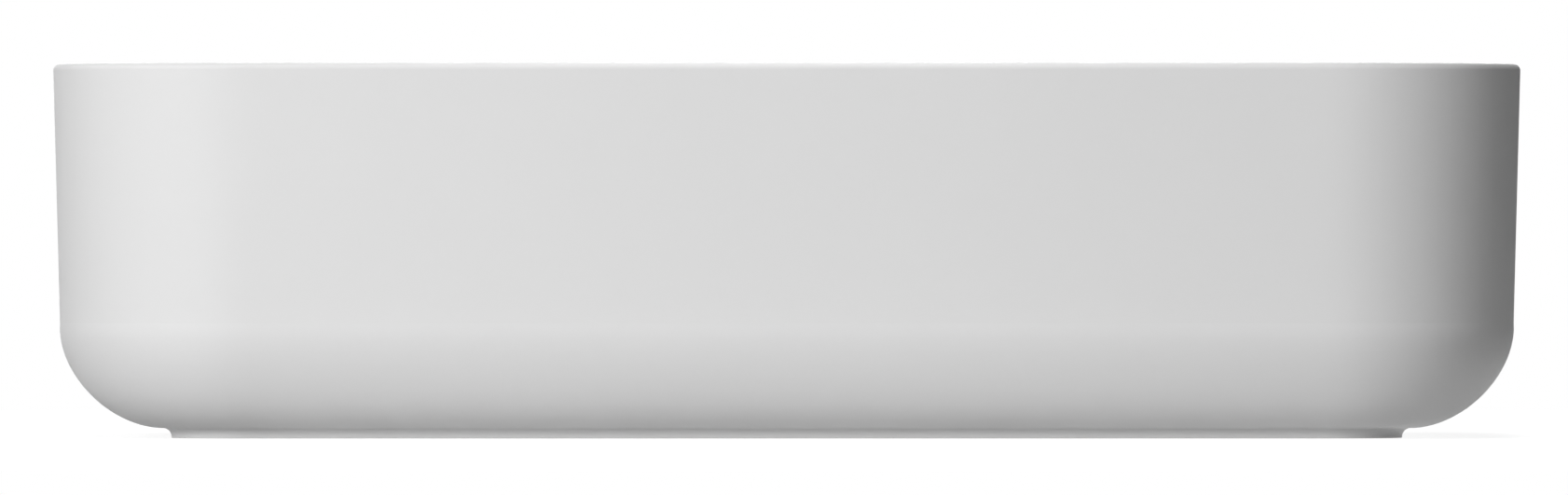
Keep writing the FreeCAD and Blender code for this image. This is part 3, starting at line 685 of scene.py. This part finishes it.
def turning_tree():
    tree, given = new_tree("turn_about_axis", {
        "Outline": "Object", "Closed": "Int", "Steps Round": "Int", "Flats": "Float",
        "Thread Pitch": "Float", "Thread Depth": "Float", "Finish": "Material",
    })
    chain = add(tree, "GeometryNodeObjectInfo", {"Object": given["Outline"]}).outputs["Geometry"]
    grid, index, turn = wrap_grid(tree, chain, given["Closed"], given["Steps Round"])
    size = look_up(tree, chain, add(tree, "GeometryNodeInputPosition").outputs[0], index)

    winding = calc(tree, "SUBTRACT", calc(tree, "DIVIDE", size["Z"], given["Thread Pitch"]), turn)
    phase = calc(tree, "FRACT", winding)
    slope = calc(tree, "ABSOLUTE", calc(tree, "MULTIPLY_ADD", phase, 2.0, -1.0))
    groove = stretch(tree, slope, CREST_END, ROOT_START, 0.0, 1.0)
    thread_share = calc(tree, "DIVIDE", size["Y"], MM)
    cut = calc(tree, "MULTIPLY", calc(tree, "MULTIPLY", groove, thread_share), given["Thread Depth"])
    turned_r = calc(tree, "SUBTRACT", size["X"], cut)

    angle = calc(tree, "MULTIPLY", turn, FULL_TURN)
    off_flat = calc(tree, "SUBTRACT", calc(tree, "FLOORED_MODULO", angle, SIXTH), SIXTH / 2)
    half_flats = calc(tree, "MULTIPLY", given["Flats"], 0.5)
    hexagon = calc(tree, "DIVIDE", half_flats, calc(tree, "COSINE", off_flat))
    radius = calc(tree, "MINIMUM", turned_r, hexagon)

    spot = add(tree, "ShaderNodeCombineXYZ", {
        "X": calc(tree, "MULTIPLY", radius, calc(tree, "COSINE", angle)),
        "Y": calc(tree, "MULTIPLY", radius, calc(tree, "SINE", angle)),
        "Z": size["Z"],
    }).outputs[0]
    wall = add(tree, "GeometryNodeSetPosition", {"Geometry": grid, "Position": spot}).outputs[0]
    close_tree(tree, wall, given["Finish"])
    return tree


turn_about_axis = turning_tree()
print("turning tree:", len(turn_about_axis.nodes), "nodes")

# %% [markdown]
# Turned edges are never quite sharp, because the maker breaks them with a file. A Bevel modifier could
# round them afterwards, but here the outline is still a handful of corners, so each gets its arc before
# it is spun.

# %% Outlines with softened corners
ROUND_STEPS = 4
HOLD_SHARE = 1.25


def soften(corners, closed=True):
    """An outline of (radius, height) points from corners given as (radius, height, round).

    Each corner with a round becomes an arc, with one more point close beside each end of it.
    """
    points = []
    last = len(corners) - 1
    for k, (x, z, size) in enumerate(corners):
        if size == 0 or (not closed and k in (0, last)):
            points.append((x, z))
            continue
        before, after = corners[k - 1], corners[(k + 1) % len(corners)]
        back = math.atan2(before[1] - z, before[0] - x)
        ahead = math.atan2(after[1] - z, after[0] - x)
        opening = (ahead - back + math.pi) % FULL_TURN - math.pi
        middle = back + opening / 2
        reach = size / abs(math.tan(opening / 2))
        to_centre = size / abs(math.sin(opening / 2))
        centre = (x + to_centre * math.cos(middle), z + to_centre * math.sin(middle))
        start = math.atan2(z + reach * math.sin(back) - centre[1], x + reach * math.cos(back) - centre[0])
        sweep = math.copysign(math.pi - abs(opening), -opening)
        hold = HOLD_SHARE * reach
        points.append((x + hold * math.cos(back), z + hold * math.sin(back)))
        points += bend(centre, size, math.degrees(start), math.degrees(start + sweep), ROUND_STEPS)
        points.append((x + hold * math.cos(ahead), z + hold * math.sin(ahead)))
    return points


def turn_piece(name, points, finish, closed=True, steps=128, flats=NO_FLATS, pitch=1.0, depth=0.0):
    """A turned piece from an outline of (radius, height) points.

    Where a thread is cut, a point is (radius, thread, height), and thread runs from 0 to 1.
    """
    chain = chain_object([point if len(point) == 3 else (point[0], 0.0, point[1]) for point in points])
    piece = grow(
        name, turn_about_axis, outline=chain, closed=int(closed), steps_round=steps,
        flats=flats, thread_pitch=pitch, thread_depth=depth, finish=finish,
    )
    remove_helper(chain)
    return piece


print("a softened corner has", ROUND_STEPS + 3, "points")

# %% [markdown]
# ## The waste: flange, tail and thread
# The flange lies in the ceramic's seat and carries the plug's conical seat. Its tail goes down through
# the drain hole and has a standard pipe thread, which a nut grips from below and a trap screws onto. A
# bump map could only paint a thread. Here the groove is cut into the mesh, and it fades out at the
# tail's end, at the relief under the nut and below the flange.

# %% Sizes of the waste, crowns and threads
THREAD_R = 20.955
THREAD_PITCH = 2.309
THREAD_DEPTH = 1.48
TAIL_BORE_R = 18.555
FLANGE_R = 32.0
FLANGE_Z = 39.0
FLANGE_TOP_Z = 42.0
FLANGE_EDGE = 1.6
PLUG_SEAT_R = 23.055
PLUG_SEAT_FLARE = 4.5
NUT_Z = 13.0
RELIEF_Z = 12.0
RELIEF_R = THREAD_R - 0.6
TAIL_Z = 1.0
TAIL_CHAMFER = 1.0
ROWS_PER_PITCH = 9
THREAD_STOP = 3.0


def crown(top, edge, steps):
    """Points of an arc that starts level at top and comes down to edge."""
    run, drop = edge[0] - top[0], top[1] - edge[1]
    radius = (run ** 2 + drop ** 2) / (2 * drop)
    return bend((top[0], top[1] - radius), radius, 90, 90 - math.degrees(math.asin(run / radius)), steps)


def thread_points(low, high, fade):
    """Points of a threaded stretch, from high to low, whose groove deepens over a fade at each end."""
    rows = round((high - low) / THREAD_PITCH * ROWS_PER_PITCH)
    points = []
    for k in range(rows + 1):
        z = high + (low - high) * k / rows
        points.append((THREAD_R, min(1.0, (high - z) / fade, (z - low) / fade), z))
    return points


def keep_edges(piece, from_deg=50.0):
    """Shades an edge that bends by more than this angle, in degrees, as an edge and not as a round."""
    piece.data.set_sharp_from_angle(angle=math.radians(from_deg))


print("thread", round(2 * THREAD_R, 2), "mm across, pitch", THREAD_PITCH, "mm")

# %% Turn the waste
flange_crown = crown((PLUG_SEAT_R, FLANGE_TOP_Z), (FLANGE_R, FLANGE_Z + FLANGE_EDGE), 12)
seat_and_bore = soften([
    (TAIL_BORE_R, TAIL_Z, 0.3), (TAIL_BORE_R, FLANGE_TOP_Z - PLUG_SEAT_FLARE, 0.6), (*flange_crown[0], 0.35),
    (*flange_crown[2], 0.0),
], closed=False)[1:]
flange_side = soften([
    (*flange_crown[-2], 0.0), (*flange_crown[-1], 0.35), (FLANGE_R, FLANGE_Z, 0.3), (THREAD_R, FLANGE_Z, 0.0),
], closed=False)[1:]
tail_end = soften([
    (THREAD_R, TAIL_Z + TAIL_CHAMFER, 0.0), (THREAD_R - TAIL_CHAMFER, TAIL_Z, 0.2),
    (TAIL_BORE_R, TAIL_Z, 0.3), (TAIL_BORE_R, TAIL_Z + TAIL_CHAMFER, 0.0),
], closed=False)[:-1]
waste_outline = seat_and_bore + flange_crown[3:-2] + flange_side
waste_outline += thread_points(NUT_Z, FLANGE_Z - THREAD_STOP, fade=2.0)
waste_outline += [(RELIEF_R, NUT_Z), (RELIEF_R, RELIEF_Z)]
waste_outline += thread_points(TAIL_Z + TAIL_CHAMFER, RELIEF_Z, fade=1.2)[:-1] + tail_end
waste = turn_piece(
    "waste_flange_and_tail", waste_outline, chrome, steps=160,
    pitch=THREAD_PITCH * MM, depth=THREAD_DEPTH * MM,
)
keep_edges(waste)
install(waste, "basin", "chrome", "waste_body")

# %% [markdown]
# ## The bridge across the tail
# Three thin arms hold a threaded hub in the middle of the tail, and water runs between them. The arms
# are one bar repeated round the axis, so a small tree makes the bar once and sets out as many as its
# input says. An Array modifier could repeat the bar too, but it needs an extra object to turn it by.

# %% The bridge tree and its hub
BRIDGE_Z = 5.0
BRIDGE_HEIGHT = 4.5
ARM_WIDTH = 3.2
HUB_R = 7.0
SPIGOT_R = 4.0
FIT = 0.05
ARM_EDGE_STEPS = 4
# How far an arm runs into the hub, and into the tail's wall.
ARM_ROOT = 1.0
ARM_TIP = 0.4


def arms_tree():
    tree, given = new_tree("arms_round_axis", {
        "Arms": "Int", "Inner Reach": "Float", "Outer Reach": "Float", "Arm Width": "Float",
        "Arm Height": "Float", "Edge Round": "Float", "Level": "Float", "Finish": "Material",
    })
    ends = [add(tree, "ShaderNodeCombineXYZ", {"X": given[label], "Z": given["Level"]}).outputs[0]
            for label in ("Inner Reach", "Outer Reach")]
    line = add(tree, "GeometryNodeCurvePrimitiveLine", {"Start": ends[0], "End": ends[1]}).outputs[0]
    feeds = {"Width": given["Arm Width"], "Height": given["Arm Height"]}
    section = add(tree, "GeometryNodeCurvePrimitiveQuadrilateral", feeds)
    feeds = {"Curve": section.outputs[0], "Count": ARM_EDGE_STEPS, "Radius": given["Edge Round"]}
    soft = add(tree, "GeometryNodeFilletCurve", feeds, mode="POLY").outputs[0]
    feeds = {"Curve": line, "Profile Curve": soft, "Fill Caps": True}
    bar = add(tree, "GeometryNodeCurveToMesh", feeds).outputs[0]
    points = add(tree, "GeometryNodePoints", {"Count": given["Arms"]}).outputs[0]
    step = calc(tree, "DIVIDE", FULL_TURN, given["Arms"])
    turned = calc(tree, "MULTIPLY", add(tree, "GeometryNodeInputIndex").outputs[0], step)
    rotation = add(tree, "ShaderNodeCombineXYZ", {"Z": turned}).outputs[0]
    feeds = {"Points": points, "Instance": bar, "Rotation": rotation}
    bars = add(tree, "GeometryNodeInstanceOnPoints", feeds).outputs[0]
    close_tree(tree, bars, given["Finish"])
    return tree


arms = grow(
    "bridge_arms", arms_tree(), arms=3,
    inner_reach=(HUB_R - ARM_ROOT) * MM, outer_reach=(TAIL_BORE_R + ARM_TIP) * MM,
    arm_width=ARM_WIDTH * MM, arm_height=BRIDGE_HEIGHT * MM, edge_round=0.5 * MM,
    level=(BRIDGE_Z + BRIDGE_HEIGHT / 2) * MM, finish=chrome,
)
keep_edges(arms)
install(arms, "basin", "chrome")
hub_top = BRIDGE_Z + BRIDGE_HEIGHT
hub_bore = SPIGOT_R + FIT
hub = turn_piece("bridge_hub", soften([
    (hub_bore, BRIDGE_Z, 0.2), (HUB_R, BRIDGE_Z, 0.5), (HUB_R, hub_top, 0.5), (hub_bore, hub_top, 0.2),
]), chrome, steps=72)
install(hub, "basin", "chrome")

# %% [markdown]
# ## The plug
# The cap is a shallow chromed dome with a turned-down edge. Below it a nylon spool carries the rubber
# ring whose sloping edge closes on the flange's seat. The whole plug slides on the cartridge, so all of
# its pieces ride on the plug's body. Solidify could give the dome its skin, but the turned outline
# draws the boss inside it as well.

# %% Turn the cap
CAP_R = 31.0
CAP_EDGE_Z = 51.0
CAP_SHOULDER_Z = 53.4
CAP_TOP_Z = 59.6
CAP_SKIN = 2.0
CAP_BOSS_R = 8.0
CAP_BOSS_Z = 54.65
STUD_R = 4.0
STUD_BITE = 3.0
dome = crown((0.0, CAP_TOP_Z), (CAP_R, CAP_SHOULDER_Z), 28)
boss_root_z = CAP_TOP_Z - CAP_SKIN - (CAP_TOP_Z - CAP_SHOULDER_Z) * CAP_BOSS_R / (CAP_R - CAP_SKIN)
cap_below = soften([
    (*dome[-2], 0.0), (*dome[-1], 0.8), (CAP_R, CAP_EDGE_Z, 0.35), (CAP_R - CAP_SKIN, CAP_EDGE_Z, 0.35),
    (CAP_R - CAP_SKIN, CAP_SHOULDER_Z - CAP_SKIN, 0.0), (CAP_BOSS_R, boss_root_z, 0.4),
    (CAP_BOSS_R, CAP_BOSS_Z, 0.3), (STUD_R + FIT, CAP_BOSS_Z, 0.2),
    (STUD_R + FIT, CAP_BOSS_Z + STUD_BITE, 0.0), (0.0, CAP_BOSS_Z + STUD_BITE, 0.0),
], closed=False)
cap = turn_piece("plug_cap_dome", dome[:-2] + cap_below, chrome, closed=False, steps=192)
keep_edges(cap)
install(cap, "plug", "chrome", "plug_cap")

# %% Turn the spool and the seal
SPOOL_Z = 45.85
SEAL_Z = 48.25
SEAL_THICK = 2.6
SPOOL_TOP_Z = 51.65
SPOOL_R = 17.155
NECK_R = 9.0
SPOOL_LIP_R = 10.6
spool = turn_piece("seal_spool", soften([
    (STUD_R + FIT, SPOOL_Z, 0.2), (SPOOL_R, SPOOL_Z, 0.5), (SPOOL_R, SEAL_Z, 0.4), (NECK_R, SEAL_Z, 0.0),
    (NECK_R, SEAL_Z + SEAL_THICK, 0.0), (SPOOL_LIP_R, SEAL_Z + SEAL_THICK, 0.2),
    (SPOOL_LIP_R, SPOOL_TOP_Z, 0.3), (STUD_R + FIT, SPOOL_TOP_Z, 0.2),
]), nylon)
keep_edges(spool)
install(spool, "plug", "nylon", "seal_carrier")

SEAL_CLEARANCE = 0.15
seal_r = TAIL_BORE_R + PLUG_SEAT_FLARE / 2 - SEAL_CLEARANCE
plug_ring = turn_piece("plug_seal_ring", soften([
    (NECK_R + FIT, SEAL_Z, 0.2), (seal_r, SEAL_Z, 0.5),
    (seal_r + SEAL_THICK, SEAL_Z + SEAL_THICK, 0.4), (NECK_R + FIT, SEAL_Z + SEAL_THICK, 0.2),
]), rubber)
install(plug_ring, "plug", "rubber", "plug_seal")

# %% [markdown]
# ## Seals and slip ring
# A thin rubber ring beds the flange on the ceramic, and a thicker one with a tapered nose does so from
# below. A nylon ring lets the brass nut turn without dragging the rubber round. A torus would be
# quicker to add, but real rings have flat faces that seat on their neighbours, so they are turned from
# outlines too.

# %% Turn the rings
RING_R = THREAD_R + 0.2
BEDDING_R = FLANGE_R - 1.0
bedding = turn_piece("flange_bedding_ring", soften([
    (RING_R, SEAT_Z, 0.2), (BEDDING_R, SEAT_Z, 0.4), (BEDDING_R, FLANGE_Z, 0.4), (RING_R, FLANGE_Z, 0.2),
]), rubber)
install(bedding, "basin", "rubber", "flange_seal")

LOWER_SEAL_Z = 22.5
LOWER_SEAL_R = 31.0
NOSE_Z = BOSS_Z + 3.0
NOSE_ROOT_R = DRAIN_R - 0.3
NOSE_TIP_R = RING_R + 0.7
lower_ring = turn_piece("underside_seal_ring", soften([
    (RING_R, LOWER_SEAL_Z, 0.3), (LOWER_SEAL_R, LOWER_SEAL_Z, 0.6), (LOWER_SEAL_R, BOSS_Z, 0.6),
    (NOSE_ROOT_R, BOSS_Z, 0.0), (NOSE_TIP_R, NOSE_Z, 0.2), (RING_R, NOSE_Z, 0.2),
]), rubber)
install(lower_ring, "basin", "rubber", "lower_seal")

SLIP_Z = 21.0
SLIP_R = 30.0
slip_ring = turn_piece("slip_ring", soften([
    (RING_R, SLIP_Z, 0.2), (SLIP_R, SLIP_Z, 0.35), (SLIP_R, LOWER_SEAL_Z, 0.35), (RING_R, LOWER_SEAL_Z, 0.2),
]), nylon)
install(slip_ring, "basin", "nylon", "slip_washer")

# %% [markdown]
# ## Nuts
# Three brass nuts clamp the waste, hold the cartridge to the bridge and lock the cap. They use the
# turning tree's flats: their outline is a turned blank with chamfered ends, and the hexagon cuts its
# sides. A six-sided cylinder would be quicker, but it lacks the curved edge that a chamfer leaves on
# each flat.

# %% Mill the nuts
BEVEL_DEG = 30.0
NUT_EDGE_SHARE = 0.06


def mill_nut(name, flats, bore, bottom, thick, corner_trim):
    """A chamfered hexagonal nut; corner_trim is how much the blank takes off its six corners."""
    corner_r = flats / math.sqrt(3)
    drop = (corner_r - flats / 2) * math.tan(math.radians(BEVEL_DEG))
    side_r = corner_r - corner_trim
    side_drop = drop * (side_r - flats / 2) / (corner_r - flats / 2)
    top = bottom + thick
    edge = NUT_EDGE_SHARE * thick
    lower = straight((flats / 2, bottom), (side_r, bottom + side_drop), 12)
    upper = [(r, bottom + top - z) for r, z in reversed(lower)]
    middle = straight(lower[-1], upper[0], 6)[1:-1]
    bore_side = [(bore, top - edge), (bore, bottom + edge)]
    inner_low = [(bore + edge, bottom), (flats / 2 - edge, bottom)]
    inner_top = [(flats / 2 - edge, top), (bore + edge, top)]
    outline = inner_low + lower + middle + upper + inner_top + bore_side
    nut = turn_piece(name, outline, brass, steps=144, flats=flats * MM)
    keep_edges(nut, from_deg=25.0)
    return nut


back_nut = mill_nut(
    "back_nut", flats=55.0, bore=THREAD_R + FIT, bottom=NUT_Z, thick=8.0, corner_trim=0.5,
)
install(back_nut, "basin", "brass", "backnut")
LOCK_NUT = {"flats": 13.0, "thick": 3.0, "corner_trim": 0.2}
hub_nut = mill_nut("hub_lock_nut", bore=SPIGOT_R + FIT, bottom=BRIDGE_Z - LOCK_NUT["thick"], **LOCK_NUT)
install(hub_nut, "basin", "brass", "sleeve_locknut")
cap_nut = mill_nut("cap_lock_nut", bore=STUD_R + FIT, bottom=SPOOL_TOP_Z, **LOCK_NUT)
install(cap_nut, "plug", "brass", "cap_locknut")

# %% [markdown]
# ## The spring in the cartridge
# The spring pushes the plug open, and it shortens when the plug goes down. A spiral with a round
# section swept along it is all the tree needs. The Screw modifier winds coils as well, but the tree
# keeps the turns and the wire as named inputs.

# %% Wind the spring
SPRING_LOW_Z = 11.1
SPRING_HIGH_Z = 29.2
SPRING_R = 3.2
WIRE = 0.8
WIRE_SIDES = 14


def spring_tree():
    tree, given = new_tree("wind_spring", {
        "Turns": "Float", "Coil Radius": "Float", "Wire": "Float", "Low": "Float", "High": "Float",
        "Steps Per Turn": "Int", "Finish": "Material",
    })
    rise = calc(tree, "SUBTRACT", calc(tree, "SUBTRACT", given["High"], given["Low"]), given["Wire"])
    spiral = add(tree, "GeometryNodeCurveSpiral", {
        "Resolution": given["Steps Per Turn"], "Rotations": given["Turns"], "Height": rise,
        "Start Radius": given["Coil Radius"], "End Radius": given["Coil Radius"],
    }).outputs[0]
    wire_r = calc(tree, "MULTIPLY", given["Wire"], 0.5)
    feeds = {"Resolution": WIRE_SIDES, "Radius": wire_r}
    section = add(tree, "GeometryNodeCurvePrimitiveCircle", feeds, mode="RADIUS").outputs[0]
    feeds = {"Curve": spiral, "Profile Curve": section, "Fill Caps": True}
    coil = add(tree, "GeometryNodeCurveToMesh", feeds).outputs[0]
    start = add(tree, "ShaderNodeCombineXYZ", {"Z": calc(tree, "ADD", given["Low"], wire_r)}).outputs[0]
    lifted = add(tree, "GeometryNodeTransform", {"Geometry": coil, "Translation": start}).outputs[0]
    close_tree(tree, lifted, given["Finish"])
    return tree


spring = grow(
    "cartridge_coil_spring", spring_tree(), turns=6.0, coil_radius=SPRING_R * MM, wire=WIRE * MM,
    low=SPRING_LOW_Z * MM, high=SPRING_HIGH_Z * MM, steps_per_turn=40, finish=steel,
)
install(spring, "basin", "steel", "cartridge_spring")
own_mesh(spring)

# %% [markdown]
# ## Pieces that stay as they are
# The plunger, its sleeve, bush, ring and pin already have their true shapes, with slot and groove. They
# only need the right finish, so the materials in their slots are changed and their meshes are left
# alone.

# %% Dress the other pieces of the cartridge
CARTRIDGE_FINISHES = {
    "plunger": chrome, "cartridge_sleeve": brass, "stem_bush": nylon,
    "retaining_ring": steel, "guide_pin": steel,
}
for node, finish in CARTRIDGE_FINISHES.items():
    for material_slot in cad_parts[node].material_slots:
        material_slot.material = finish
    print(node, "takes", finish.name)

# %% [markdown]
# ## Floor and surroundings
# The basin stands on a plain pale floor in white surroundings. The white is what the camera and mirrors
# see, so it comes from Light Path and not from more lamps, which would wash out the glaze. Near the
# basin the floor still takes light and shadow, and further out it fades into the surroundings so that
# no edge shows. Like a photographer's light table it also gives off a little light of its own, or the
# foot would be lost in the dark below the turn.

# %% Floor
FLOOR_REACH = 12.0
FLOOR_DROP = 0.0002
FLOOR_GLOW = 0.86
TABLE_LIGHT = 0.097
MATT = 0.9
# Distances from the basin, in metres, over which the floor turns white and its own light dies away.
FADE_FROM, FADE_TO = 0.7, 1.3
TABLE_FROM, TABLE_TO = 0.9, 1.5


def seen_directly(tree):
    """1 for rays that look, straight, in a mirror or through glass, and 0 for rays that light things."""
    path = add(tree, "ShaderNodeLightPath").outputs
    mirrored = calc(tree, "MAXIMUM", path["Is Glossy Ray"], path["Is Transmission Ray"])
    return calc(tree, "MAXIMUM", path["Is Camera Ray"], mirrored)


def make_floor_finish():
    finish, tree, shader, place = new_finish("pale_floor")
    drift = noise(tree, place, scale=3.0)
    tone = blend_colour(tree, drift, (0.45, 0.45, 0.45, 1), (0.49, 0.49, 0.49, 1))
    feed(tree, shader.inputs["Base Color"], tone)
    shader.inputs["Roughness"].default_value = MATT
    shader.inputs["Specular IOR Level"].default_value = 0.0
    near_glow = add(tree, "ShaderNodeEmission", {"Strength": FLOOR_GLOW}).outputs[0]
    near = add(tree, "ShaderNodeAddShader", {0: shader.outputs[0], 1: near_glow}).outputs[0]
    far = add(tree, "ShaderNodeEmission", {"Strength": 1.0}).outputs[0]
    away = length_of(tree, place)
    fade = stretch(tree, away, FADE_FROM, FADE_TO, 0.0, 1.0)
    shown = add(tree, "ShaderNodeMixShader", {0: fade, 1: near, 2: far}).outputs[0]
    table_light = stretch(tree, away, TABLE_FROM, TABLE_TO, TABLE_LIGHT, 0.0)
    from_below = add(tree, "ShaderNodeEmission", {"Strength": table_light}).outputs[0]
    lighting = add(tree, "ShaderNodeAddShader", {0: shader.outputs[0], 1: from_below}).outputs[0]
    both = add(tree, "ShaderNodeMixShader", {0: seen_directly(tree), 1: lighting, 2: shown}).outputs[0]
    tree.links.new(both, tree.nodes["Material Output"].inputs["Surface"])
    return finish


floor_mesh = bpy.data.meshes.new("floor")
floor_plan = [(-FLOOR_REACH, -FLOOR_REACH), (FLOOR_REACH, -FLOOR_REACH)]
floor_plan += [(FLOOR_REACH, FLOOR_REACH), (-FLOOR_REACH, FLOOR_REACH)]
floor_mesh.from_pydata([(x, y, -FLOOR_DROP) for x, y in floor_plan], [], [(0, 1, 2, 3)])
floor_mesh.materials.append(make_floor_finish())
link("floor", floor_mesh)
print("floor", 2 * FLOOR_REACH, "m wide")

# %% Surroundings
AMBIENT = 0.015
world = bpy.data.worlds.new("surroundings")
bpy.context.scene.world = world
world.use_nodes = True
world_tree = world.node_tree
sky = world_tree.nodes["Background"]
sky.inputs["Color"].default_value = (1, 1, 1, 1)
sky_strength = stretch(world_tree, seen_directly(world_tree), 0.0, 1.0, AMBIENT, 1.0)
feed(world_tree, sky.inputs["Strength"], sky_strength)
print("surroundings light the object at", AMBIENT)

# %% [markdown]
# ## Light
# The glaze shows its form through one broad soft light from the front left: it is brightest on the left
# corner, falls off evenly along the front and leaves the right end in shade. A softer one hangs above
# the front and draws a thin line along each edge that faces up a little: the rim's rounding, and the
# mould's line low on the wall. A narrow beam fills the bowl without lighting the floor in front, and a
# lamp behind lights the back. Area lamps give such light directly, and their spread makes the beam.

# %% Lamps
basin_middle = (cad_box[0] + cad_box[1]) / 2


def hang_lamp(name, spot, width, height, power, mirrored, spread_deg=180.0):
    """An oval area lamp that points at the basin. The camera doesn't see it, and mirrors only if asked."""
    lamp = bpy.data.lights.new(name, "AREA")
    lamp.shape = "ELLIPSE"
    lamp.size, lamp.size_y = width, height
    lamp.energy = power
    lamp.spread = math.radians(spread_deg)
    holder = link(name, lamp)
    holder.location = spot
    holder.rotation_euler = (basin_middle - holder.location).to_track_quat("-Z", "Y").to_euler()
    holder.visible_camera = False
    holder.visible_glossy = mirrored
    print(name, power, "W")


hang_lamp("left_front_light", (-1.35, -2.2, 0.57), width=1.5, height=1.2, power=37.5, mirrored=False)
hang_lamp("front_top_light", (0.0, -0.8, 1.7), width=1.2, height=0.9, power=9.8, mirrored=False)
hang_lamp(
    "bowl_light", (0.0, 0.0, 1.3), width=0.6, height=0.34, power=0.26, mirrored=True, spread_deg=16.0,
)
hang_lamp("back_light", (0.0, 2.4, 1.1), width=1.4, height=0.9, power=22.0, mirrored=True)

# %% [markdown]
# White on white loses its outline, because a glaze mirrors its surroundings most where it turns away
# from the eye. So a studio stands cards behind the ends, just out of the picture, and the edges mirror
# the cards: a dark one for the shaded end and a pale one, lit through from behind, for the bright end.
# Two grey ones lie beside the ends, take the floor's glow off the turn above them, and fade out towards
# the foot so that their edges don't show. The camera doesn't see the cards themselves, and they throw
# no shadow.

# %% Cards round both ends
CARD_FRONT = (0.95, 0.0)
CARD_BACK = (0.40, 1.3)
CARD_TOP = 0.9
LOW_CARD_Y = (-0.2, 0.4)
LOW_CARD_LIFT = 0.001


def set_card(name, corners, dark, bright, glow=0.0, fade=None):
    """A card with the faint fleck of paper between two greys, and a glow if light comes through it.

    A fade gives the two places along X between which the card thins out to nothing.
    """
    finish, tree, shader, place = new_finish(name)
    fleck = noise(tree, place, scale=200.0)
    paper = blend_colour(tree, fleck, (dark, dark, dark, 1), (bright, bright, bright, 1))
    feed(tree, shader.inputs["Base Color"], paper)
    shader.inputs["Roughness"].default_value = MATT
    shader.inputs["Emission Color"].default_value = (1, 1, 1, 1)
    shader.inputs["Emission Strength"].default_value = glow
    if fade:
        along = add(tree, "ShaderNodeSeparateXYZ", {0: place}).outputs["X"]
        feed(tree, shader.inputs["Alpha"], stretch(tree, along, *fade, 1.0, 0.0))
    mesh = bpy.data.meshes.new(name)
    mesh.from_pydata(corners, [], [(0, 1, 2, 3)])
    mesh.materials.append(finish)
    card = link(name, mesh)
    card.visible_camera = False
    card.visible_shadow = False


def stand_card(name, side, dark, bright, glow=0.0):
    """A card that stands behind the left (-1) or right (1) end."""
    front, back = [(side * x, y) for x, y in (CARD_FRONT, CARD_BACK)]
    corners = [(*front, 0), (*back, 0), (*back, CARD_TOP), (*front, CARD_TOP)]
    set_card(name, corners, dark, bright, glow)


def lay_card(name, outer_x, fade_x, inner_x, dark, bright):
    """A card that lies beside one end and fades out towards the foot."""
    front, back = LOW_CARD_Y
    plan = [(outer_x, front), (inner_x, front), (inner_x, back), (outer_x, back)]
    corners = [(x, y, LOW_CARD_LIFT) for x, y in plan]
    set_card(name, corners, dark, bright, fade=(fade_x, inner_x))


stand_card("pale_card", side=-1, dark=0.80, bright=0.84, glow=0.3)
stand_card("dark_card", side=1, dark=0.07, bright=0.09)
lay_card("left_low_card", outer_x=-0.9, fade_x=-0.32, inner_x=-0.18, dark=0.43, bright=0.47)
lay_card("right_low_card", outer_x=0.9, fade_x=0.36, inner_x=0.24, dark=0.58, bright=0.62)
print("cards", CARD_TOP, "m high")

# %% [markdown]
# ## Camera
# The picture is a square front view from far away: the rim's line hardly bows and both ends look alike.
# So the camera looks level along +Y through a long lens, and the lens follows from the frame's width at
# the basin's ends.

# %% Camera at the picture's angle
CAMERA_AWAY = 8.0
FRAME_WIDTH = 0.5879
EYE_X, EYE_Z = -0.00104, 0.0713
SENSOR = 36.0
ends_plane = (DEPTH / 2 - PLAN_RADIUS) * MM
lens = SENSOR * (CAMERA_AWAY - ends_plane) / FRAME_WIDTH
camera_data = bpy.data.cameras.new("camera")
camera_data.sensor_width = SENSOR
camera_data.lens = lens
camera = link("camera", camera_data)
camera.location = (EYE_X, -CAMERA_AWAY, EYE_Z)
camera.rotation_euler = (math.pi / 2, 0, 0)
bpy.context.scene.camera = camera
bpy.context.scene.view_settings.view_transform = "Standard"
print("lens", round(lens, 1), "mm at", CAMERA_AWAY, "m")
